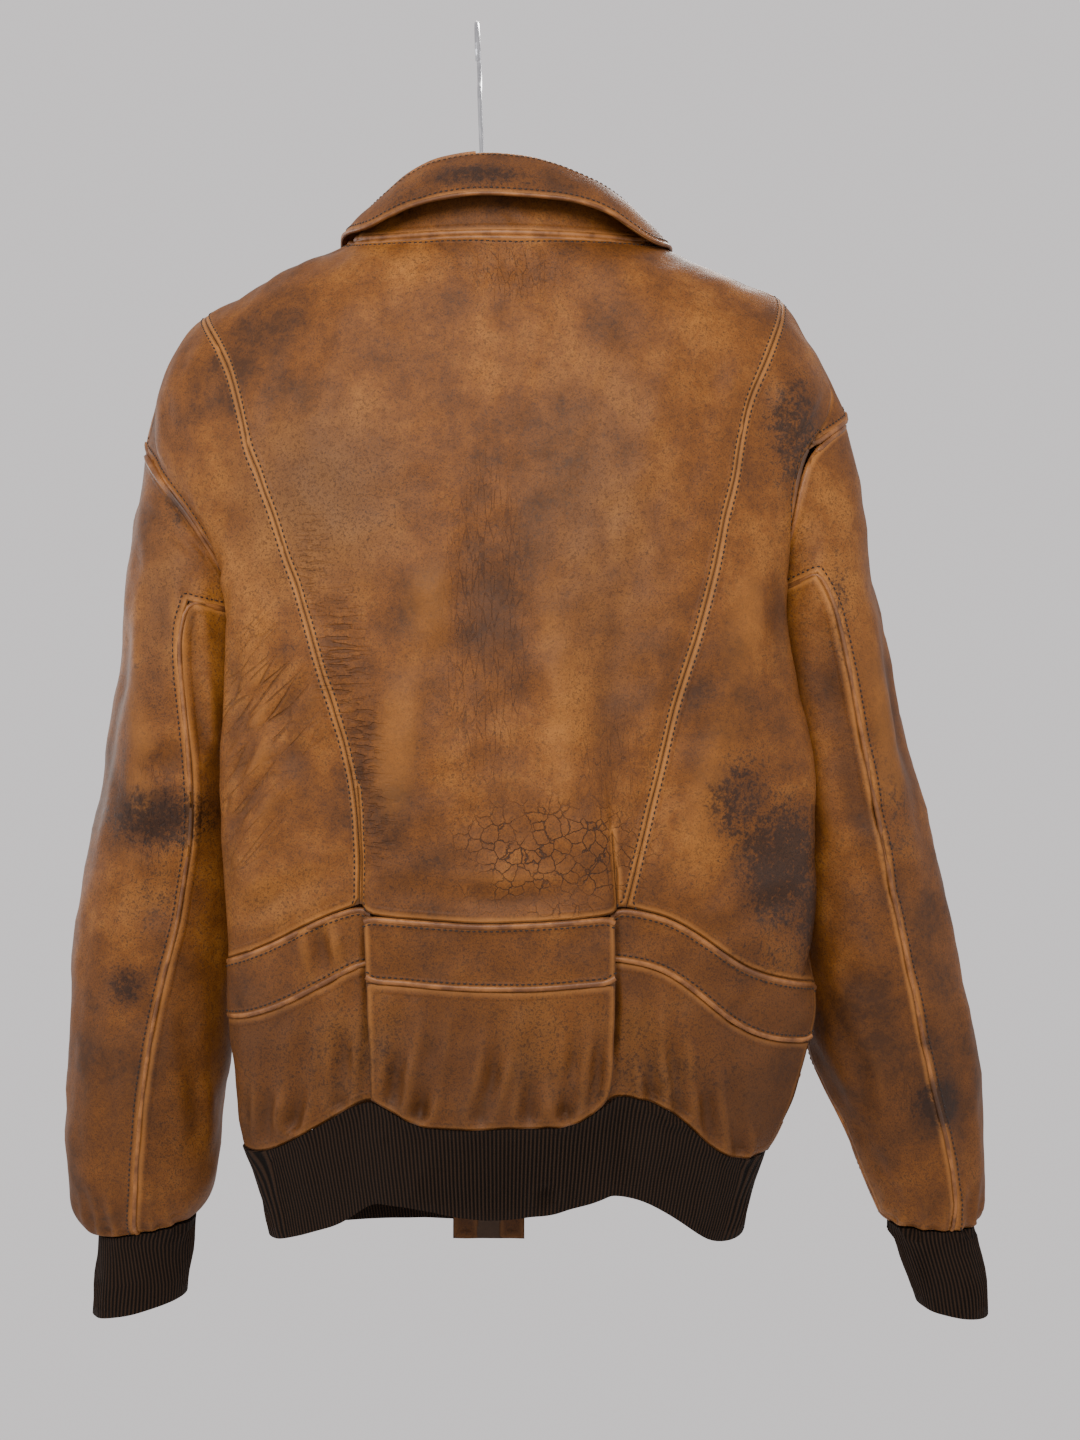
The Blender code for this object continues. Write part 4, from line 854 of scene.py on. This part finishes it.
def bead(name, panel, edge, size=SLIM_ROLL):
    """The rounded turned edge of a seam: a slim roll of the same leather along it."""
    radius, sunk, offset = size
    joined = bmesh.new()
    for line in chained(panel.rows(edge, offset)):
        curve = bpy.data.curves.new(name, "CURVE")
        curve.dimensions = "3D"
        curve.bevel_depth = radius
        curve.bevel_resolution = 1
        curve.use_fill_caps = True
        kept = [*line[:-1:2], line[-1]]
        kept = [kept[0], *((a + b + c) / 3 for a, b, c in zip(kept, kept[1:], kept[2:])), kept[-1]]
        spline = curve.splines.new("POLY")
        spline.points.add(len(kept) - 1)
        ways = outward(np.array(kept), panel.part)
        for spot, way, point in zip(kept, ways, spline.points):
            point.co = (*(spot - Vector(way) * sunk), 1)
        helper = bpy.data.objects.new("helper", curve)
        mesh = bpy.data.meshes.new_from_object(helper)
        joined.from_mesh(mesh)
        bpy.data.objects.remove(helper)
        bpy.data.meshes.remove(mesh)
    spots = np.array([vertex.co for vertex in joined.verts])
    roll = trimming(name, joined, piping).data
    carry(roll, {"stain": worn(spots, panel.part)["stain"]})
    smoothed(roll)


BELT_STITCH = 0.0048
for side, panel in belts.items():
    above = panel.edge_to("back_centre", *(f"side_back_{end}" for end in SIDES))
    below = panel.edge_to(*(f"skirt_{end}" for end in SKIRT_CUT))
    for name, edge in (("top", above), ("bottom", below)):
        bead(f"belt_{name}_roll_{side}", panel, edge, (0.0023, 0.0010, 0.0016))
        sewn(f"belt_{name}_stitch_{side}", panel, edge, BELT_STITCH)

# ---- Fronts, zip and rib band ----------------------------
# Each front is one panel from the shoulder to the knitted waistband, closed by a brass zip on a
# brown woven tape, with a leather tab over the band's end on both sides of it.

FRONT_MIDDLE = 0.02
UPRIGHT_FOLDS = [  # across, top, foot, lean, depth, half width
    (0.055, -0.36, -0.62, 0.012, 0.0026, 0.016), (0.095, -0.42, -0.72, 0.020, -0.0030, 0.018),
    (0.135, -0.35, -0.60, 0.010, 0.0028, 0.016), (0.150, -0.62, -0.80, -0.010, 0.0026, 0.012),
]
LEVEL_FOLDS = [  # across, height, drop
    (0.05, -0.79, 0.006), (0.09, -0.76, -0.004), (0.06, -0.835, 0.004), (0.13, -0.80, 0.010),
]
for side, sign in SIDES.items():
    for across, top, low, lean, depth, half in UPRIGHT_FOLDS:
        start = FRONT_MIDDLE + sign * across
        crease("body", "front", [(start, top), (start + sign * lean, (top + low) / 2),
                                 (start + sign * lean * 0.4, low)], depth, half, 0.55)
    for across, height, drop in LEVEL_FOLDS:
        start = FRONT_MIDDLE + sign * across
        crease("body", "front",
               [(start - 0.022, height), (start, height - drop), (start + 0.024, height)],
               0.0024, 0.009, 0.6)
    for across in (0.032, 0.056, 0.080, 0.104, 0.128, 0.150):
        start = FRONT_MIDDLE + sign * across
        crease("body", "front",
               [(start, -0.868), (start + 0.002, -0.845), (start + sign * 0.005, -0.812)],
               0.0036, 0.0060, 0.8, gathered=True)

FRONT_CUT = {"left": ((0.33, 0.74), 0.166), "right": ((0.36, 0.74), 0.192)}
fronts = {side: cut_leather(f"front_{side}", "body", flat, "hung", ["hanger_bar"], area)
          for side, (flat, area) in FRONT_CUT.items()}
for side, panel in fronts.items():
    sewn(f"front_edge_stitch_{side}", panel, panel.edge_to("zip_tape", reach=0.005), 0.006)
    across = panel.edge_to(f"side_back_{side}", f"skirt_{side}", f"belt_{side}", reach=0.005)
    sewn(f"side_seam_stitch_{side}", panel, across, TOPSTITCH)
    bead(f"side_seam_roll_{side}", panel, across)

tape_finish, shader, place = finish_of("woven_brown_tape", Roughness=0.85)
weave = place.grain(1600, 2, 0.5)
plug(shader, "Base Color", weave.blend(srgb(40, 27, 18), srgb(84, 60, 42)))
dent(shader, weave * 0.12)
ZIP_X, TAPE_SPREAD, TAB_SPREAD, TAPE_SUNK = 0.006, 1.22, 1.035, 0.0005
tape = Panel("zip_tape", "body", levels=BAND_LEVELS)
tape.shape(roll=0.0)
tape.points[:, 0] = ZIP_X + (tape.points[:, 0] - ZIP_X) * TAPE_SPREAD
tape.points[:, 1] -= TAPE_SUNK
tape.dress(tape_finish, "zip_tape", (0.0196, 0.72), "hung", ["front_left", "front_right"])

brass, shader, place = finish_of("old_brass", Metallic=1.0)
dull = place.grain(260, 4, 0.6)
plug(shader, "Base Color", dull.rise(0.35, 0.7).blend(srgb(176, 142, 84), srgb(112, 84, 50)))
plug(shader, "Roughness", 0.28 + 0.3 * dull)
dent(shader, dull * 0.04)
give("zip_slider", brass)
give("zip_pull", brass)

SLIDER_Z, TOOTH, TOOTH_PITCH = -0.278, (0.0030, 0.00224, 0.0011), 0.0024
CLOSED, OPENED, OPENS_OVER, ZIP_STOP = 0.0014, 0.0022, 0.02, 0.004
teeth = bmesh.new()
zip_low, zip_high = (corner[2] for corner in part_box("zip_tape"))
height = zip_high - ZIP_STOP
while height > zip_low + ZIP_STOP:
    apart = CLOSED + OPENED * min(1, max(0, height - SLIDER_Z) / OPENS_OVER)
    for sign, shift in ((-1, 0.0), (1, TOOTH_PITCH / 2)):
        spot = Vector((ZIP_X + sign * apart, 1.0, height - shift))
        hit, facing = TREES["body"].ray_cast(spot, VIEWS["front"])[:2]
        if hit is not None:
            at = np.array([hit])
            moved = drape(at)[0] + relief(at, "body")[0]
            hit = hit + Vector(outward(at, "body")[0]) * moved
            turned = facing.to_track_quat("Y", "Z").to_matrix().to_4x4()
            bmesh.ops.create_cube(teeth, size=1.0, matrix=Matrix.Translation(hit) @ turned
                                  @ Matrix.Diagonal((*TOOTH, 1)))
    height -= TOOTH_PITCH
bmesh.ops.bevel(teeth, geom=list(teeth.edges), offset=0.0003, offset_type="OFFSET", segments=1,
                profile=0.5, affect="EDGES", material=-1)
trimming("zip_teeth", teeth, brass)

RIB_PITCH, RIB_DEPTH, LOOP_PITCH = 0.0028, 0.00042, 0.0019
TOO_COARSE = 2.4  # turn in radians along one edge at which the ridges have died away
rib_finish, shader, place = finish_of("brown_rib_knit", Roughness=0.92, Specular_IOR_Level=0.15)
phase = place.carried("phase")
ridge = phase.math("COSINE", phase)
fuzz = place.grain(420, 4, 0.65)
row_turn = place.node("SeparateXYZ", None, {0: place}, out=2) * (2 * math.pi / LOOP_PITCH)
loops = row_turn.math("SINE", row_turn)
# Painted shade: the grooves between the ribs are coloured almost black, the ridges a yarn brown
yarn_and_groove_shade = ridge.rise(-0.6, 0.8).blend(srgb(5, 3, 2), srgb(50, 34, 23))
plug(shader, "Base Color", (fuzz * 0.40).blend(yarn_and_groove_shade, srgb(26, 17, 11)))
dent(shader, ridge * 0.35 + loops * 0.10 * ridge.rise(-0.4, 0.6) + fuzz * 0.25)


def level_out(points, reach=0.012):
    """How far each point lies between a band's sides at its own height, from -1 to 1."""
    heights = np.quantile(points[:, 2], np.linspace(0.40, 0.65, 6))
    rings = [points[np.abs(points[:, 2] - height) < reach, 0] for height in heights]
    low = np.polyval(np.polyfit(heights, [ring.min() for ring in rings], 1), points[:, 2])
    high = np.polyval(np.polyfit(heights, [ring.max() for ring in rings], 1), points[:, 2])
    return np.clip((points[:, 0] - (low + high) / 2) / ((high - low) / 2), -1, 1)


def knit(panel, flat, rests_on):
    """Raises upright ridges of rib stitch all round a band, and dresses it."""
    panel.shape(roll=0.0)
    sleeve = panel.part in AXES
    centre = middle_at(panel.part, panel.rest[:, 2]) if sleeve else (MIDDLE_X, 0.0)
    span = panel.rest[:, :2] - centre
    ring = np.abs(panel.rest[:, 2] - np.median(panel.rest[:, 2])) < 0.02
    half = np.abs(span[ring]).max(axis=0)
    span = span / half
    if not sleeve:
        span[:, 0] = level_out(panel.rest)
        oval = np.sign(span[:, 1]) * np.sqrt(np.clip(1 - span[:, 0] ** 2, 0, 1))
        edge = np.clip((np.abs(span[:, 0]) - 0.88) / 0.10, 0, 1)
        span[:, 1] = oval * (1 - edge) + span[:, 1] * edge
    angle = np.arctan2(span[:, 1], span[:, 0])
    turns = np.linspace(-math.pi, math.pi, 361)
    loop = np.stack([np.cos(turns), np.sin(turns)], axis=1) * half
    along = np.concatenate([[0], np.cumsum(np.linalg.norm(np.diff(loop, axis=0), axis=1))])
    ribs = round(along[-1] / RIB_PITCH)
    phase = np.interp(angle, turns, along) / along[-1] * ribs * 2 * math.pi
    ends = np.empty(len(panel.piece.data.edges) * 2, np.int32)
    panel.piece.data.edges.foreach_get("vertices", ends)
    ends = ends.reshape(-1, 2)
    apart = np.abs(phase[ends[:, 0]] - phase[ends[:, 1]])
    coarse = np.zeros(len(phase))
    for k in (0, 1):
        np.maximum.at(coarse, ends[:, k], apart)
    height = np.cos(phase) * RIB_DEPTH * np.clip(TOO_COARSE - coarse, 0, 1)
    panel.points += outward(panel.rest, panel.part) * height[:, None]
    panel.dress(rib_finish, "rib_knit", flat, "stretched", rests_on)
    carry(panel.piece.data, {"phase": phase})


knit(Panel("rib_waist", "body", levels=BAND_LEVELS, ribs=5), (0.80, 0.076),
     ["skirt_centre", "front_left", "front_right"])
for side in SIDES:
    tab = Panel(f"front_tab_{side}", "body")
    tab.shape()
    tab.points[:, 0] = ZIP_X + (tab.points[:, 0] - ZIP_X) * TAB_SPREAD
    tab.dress(leather, "leather", (0.022, 0.080), "hung", ["rib_waist"])
    sewn(f"front_tab_stitch_{side}", tab, tab.rim, 0.0032)

# ---- Collar ----------------------------------------------
# A shirt collar in two pieces: a stand sewn round the neck and a fall turned down over it, with
# its edge turned and stitched.

mark("collar", "back", "stain", (0.0, -0.137, 0.05, 0.012, 0.75), (0.06, -0.14, 0.05, 0.02, 0.45),
     (-0.05, -0.15, 0.03, 0.02, 0.5))
mark("collar", "front", "stain", (0.0, -0.26, 0.10, 0.05, 0.4))
mark("collar", "back", "checked", (0.0, -0.14, 0.10, 0.03, 0.5))
creases("collar", "back", [
    ((-0.070, -0.172), (-0.052, -0.160), (-0.030, -0.146), 0.0014, 0.005, 0.5),
    ((0.046, -0.130), (0.060, -0.140), (0.078, -0.150), 0.0014, 0.005, 0.5),
    ((0.024, -0.158), (0.030, -0.166), (0.040, -0.172), 0.0012, 0.004, 0.5),
])
stand = cut_leather("collar_stand", "collar", (0.44, 0.045), "hung", ["back_centre"], 0.0172, 0.5)
fall = cut_leather("collar_fall", "collar", (0.50, 0.085), "folded", ["collar_stand"], 0.0385, 0.5)
stand_tree = tree_of("collar_stand")
loose_edge = [point for point in fall.rim if stand_tree.find_nearest(point, 0.004)[0] is None]
sewn("collar_fall_stitch", fall, loose_edge, 0.0055)
bead("collar_fall_roll", fall, loose_edge, (0.0015, 0.0004, 0.0010))
neck_edge = back_centre.edge_to("collar_stand", reach=0.005)
sewn("neck_stitch", back_centre, neck_edge, 0.0050)
bead("neck_roll", back_centre, neck_edge, ARMHOLE_ROLL)
stand_foot = stand.edge_to("back_centre", "front_left", "front_right", reach=0.006)
bead("stand_roll", stand, stand_foot, (0.0026, 0.0014, 0.0003))

# ---- Sleeves ---------------------------------------------
# Two-piece sleeves set into low armholes: a wide upper piece and a narrow under piece, with the
# back seam rolled and stitched, gathered a little into a knitted cuff.

mark("left", "back", "stain", (-0.235, -0.60, 0.055, 0.028, 0.85), (-0.258, -0.725, 0.020, 0.020, 0.8),
     (-0.215, -0.36, 0.016, 0.03, 0.8), (-0.24, -0.50, 0.03, 0.05, 0.35),
     (-0.225, -0.84, 0.03, 0.06, 0.35))
mark("left", "front", "stain", (-0.23, -0.66, 0.05, 0.06, 0.4))
mark("left", "back", "greyed", (-0.23, -0.44, 0.02, 0.06, 0.5))
mark("left", "back", "checked", (-0.24, -0.60, 0.05, 0.08, 0.6))
mark("right", "back", "stain", (0.344, -0.812, 0.024, 0.022, 1.0), (0.338, -0.765, 0.014, 0.012, 0.7),
     (0.290, -0.56, 0.035, 0.04, 0.35), (0.30, -0.66, 0.04, 0.03, 0.40),
     (0.268, -0.46, 0.012, 0.08, 0.5), (0.30, -0.85, 0.03, 0.05, 0.3))
mark("right", "front", "stain", (0.31, -0.60, 0.04, 0.06, 0.45))
mark("right", "back", "checked", (0.33, -0.80, 0.04, 0.05, 0.6))
creases("left", "back", [
    ((-0.2100, -0.425), (-0.2085, -0.46), (-0.2060, -0.50), (-0.2020, -0.55), 0.0036, 0.0060, 0.8),
    ((-0.262, -0.55), (-0.238, -0.562), (-0.212, -0.556), 0.0022, 0.009, 0.6),
    ((-0.268, -0.60), (-0.240, -0.615), (-0.214, -0.604), 0.0024, 0.010, 0.6),
    ((-0.272, -0.66), (-0.250, -0.672), (-0.226, -0.664), 0.0018, 0.009, 0.6),
    ((-0.256, -0.46), (-0.246, -0.54), (-0.252, -0.64), -0.0026, 0.013, 0.5),
    ((-0.277, -0.76), (-0.270, -0.82), (-0.266, -0.88), 0.0022, 0.010, 0.6),
    ((-0.214, -0.74), (-0.210, -0.79), (-0.206, -0.85), 0.0024, 0.008, 0.6),
])
creases("right", "back", [
    ((0.252, -0.45), (0.266, -0.53), (0.285, -0.62), 0.0036, 0.011, 0.6),
    ((0.286, -0.42), (0.302, -0.52), (0.318, -0.62), -0.0028, 0.014, 0.5),
    ((0.275, -0.585), (0.300, -0.600), (0.326, -0.592), 0.0022, 0.010, 0.6),
    ((0.282, -0.640), (0.306, -0.652), (0.334, -0.648), 0.0020, 0.009, 0.6),
    ((0.262, -0.69), (0.284, -0.72), (0.306, -0.73), 0.0024, 0.009, 0.6),
    ((0.268, -0.76), (0.284, -0.80), (0.300, -0.87), 0.0024, 0.009, 0.6),
    ((0.356, -0.74), (0.362, -0.80), (0.366, -0.87), 0.0020, 0.009, 0.6),
])
ELBOW_FOLDS = [  # height, lean, depth
    (-0.47, 0.03, 0.0030), (-0.53, 0.02, 0.0034), (-0.58, -0.01, 0.0036),
    (-0.63, 0.012, 0.0030), (-0.72, -0.02, 0.0024), (-0.82, 0.016, 0.0022),
]
for side in SIDES:
    for height, lean, depth in ELBOW_FOLDS:
        x = middle_at(side, height)[0]
        crease(side, "front",
               [(x - 0.034, height - lean), (x, height + 0.006), (x + 0.034, height + lean)],
               depth, 0.009, 0.6)
    for y, depth in ((-0.02, 0.0026), (0.03, -0.0026), (0.06, 0.0026)):
        crease(side, side, [(y, -0.42), (y + 0.006, -0.56), (y - 0.004, -0.70)], depth, 0.013, 0.5)
    x = middle_at(side, -0.90)[0]
    for view in ("back", "front"):
        for across in (-0.030, -0.018, -0.004, 0.010, 0.023, 0.034):
            crease(side, view, [(x + across, -0.912), (x + across * 1.04, -0.895),
                                (x + across * 1.1, -0.872)], 0.0026, 0.0045, 0.7, gathered=True)

UPPER_CUT, UNDER_CUT, CUFF_CUT = (0.33, 0.62), (0.16, 0.51), (0.175, 0.073)
for side in SIDES:
    upper = cut_leather(f"upper_sleeve_{side}", side, UPPER_CUT, "hung", [f"front_{side}"], 0.165)
    cut_leather(f"under_sleeve_{side}", side, UNDER_CUT, "hung", [f"upper_sleeve_{side}"], 0.062)
    lap = upper.edge_to(f"under_sleeve_{side}")
    bead(f"sleeve_seam_roll_{side}", upper, lap, (0.0019, 0.0008, 0.0004))
    sewn(f"sleeve_seam_stitch_{side}", upper, lap, 0.0052)
    knit(Panel(f"cuff_{side}", side, levels=BAND_LEVELS, ribs=4), CUFF_CUT,
         [f"upper_sleeve_{side}"])
    head = upper.edge_to("back_centre", f"side_back_{side}", f"front_{side}", reach=0.012)
    bead(f"sleeve_head_roll_{side}", upper, head, (0.0026, 0.0012, 0.0003))
    sleeve = (f"upper_sleeve_{side}", f"under_sleeve_{side}")
    for name, panel in (("back", back_centre), ("side", side_backs[side]), ("front", fronts[side])):
        hole = panel.edge_to(*sleeve, reach=0.008)
        if hole:
            bead(f"armhole_{name}_roll_{side}", panel, hole, ARMHOLE_ROLL)
            sewn(f"armhole_{name}_stitch_{side}", panel, hole, 0.0055)
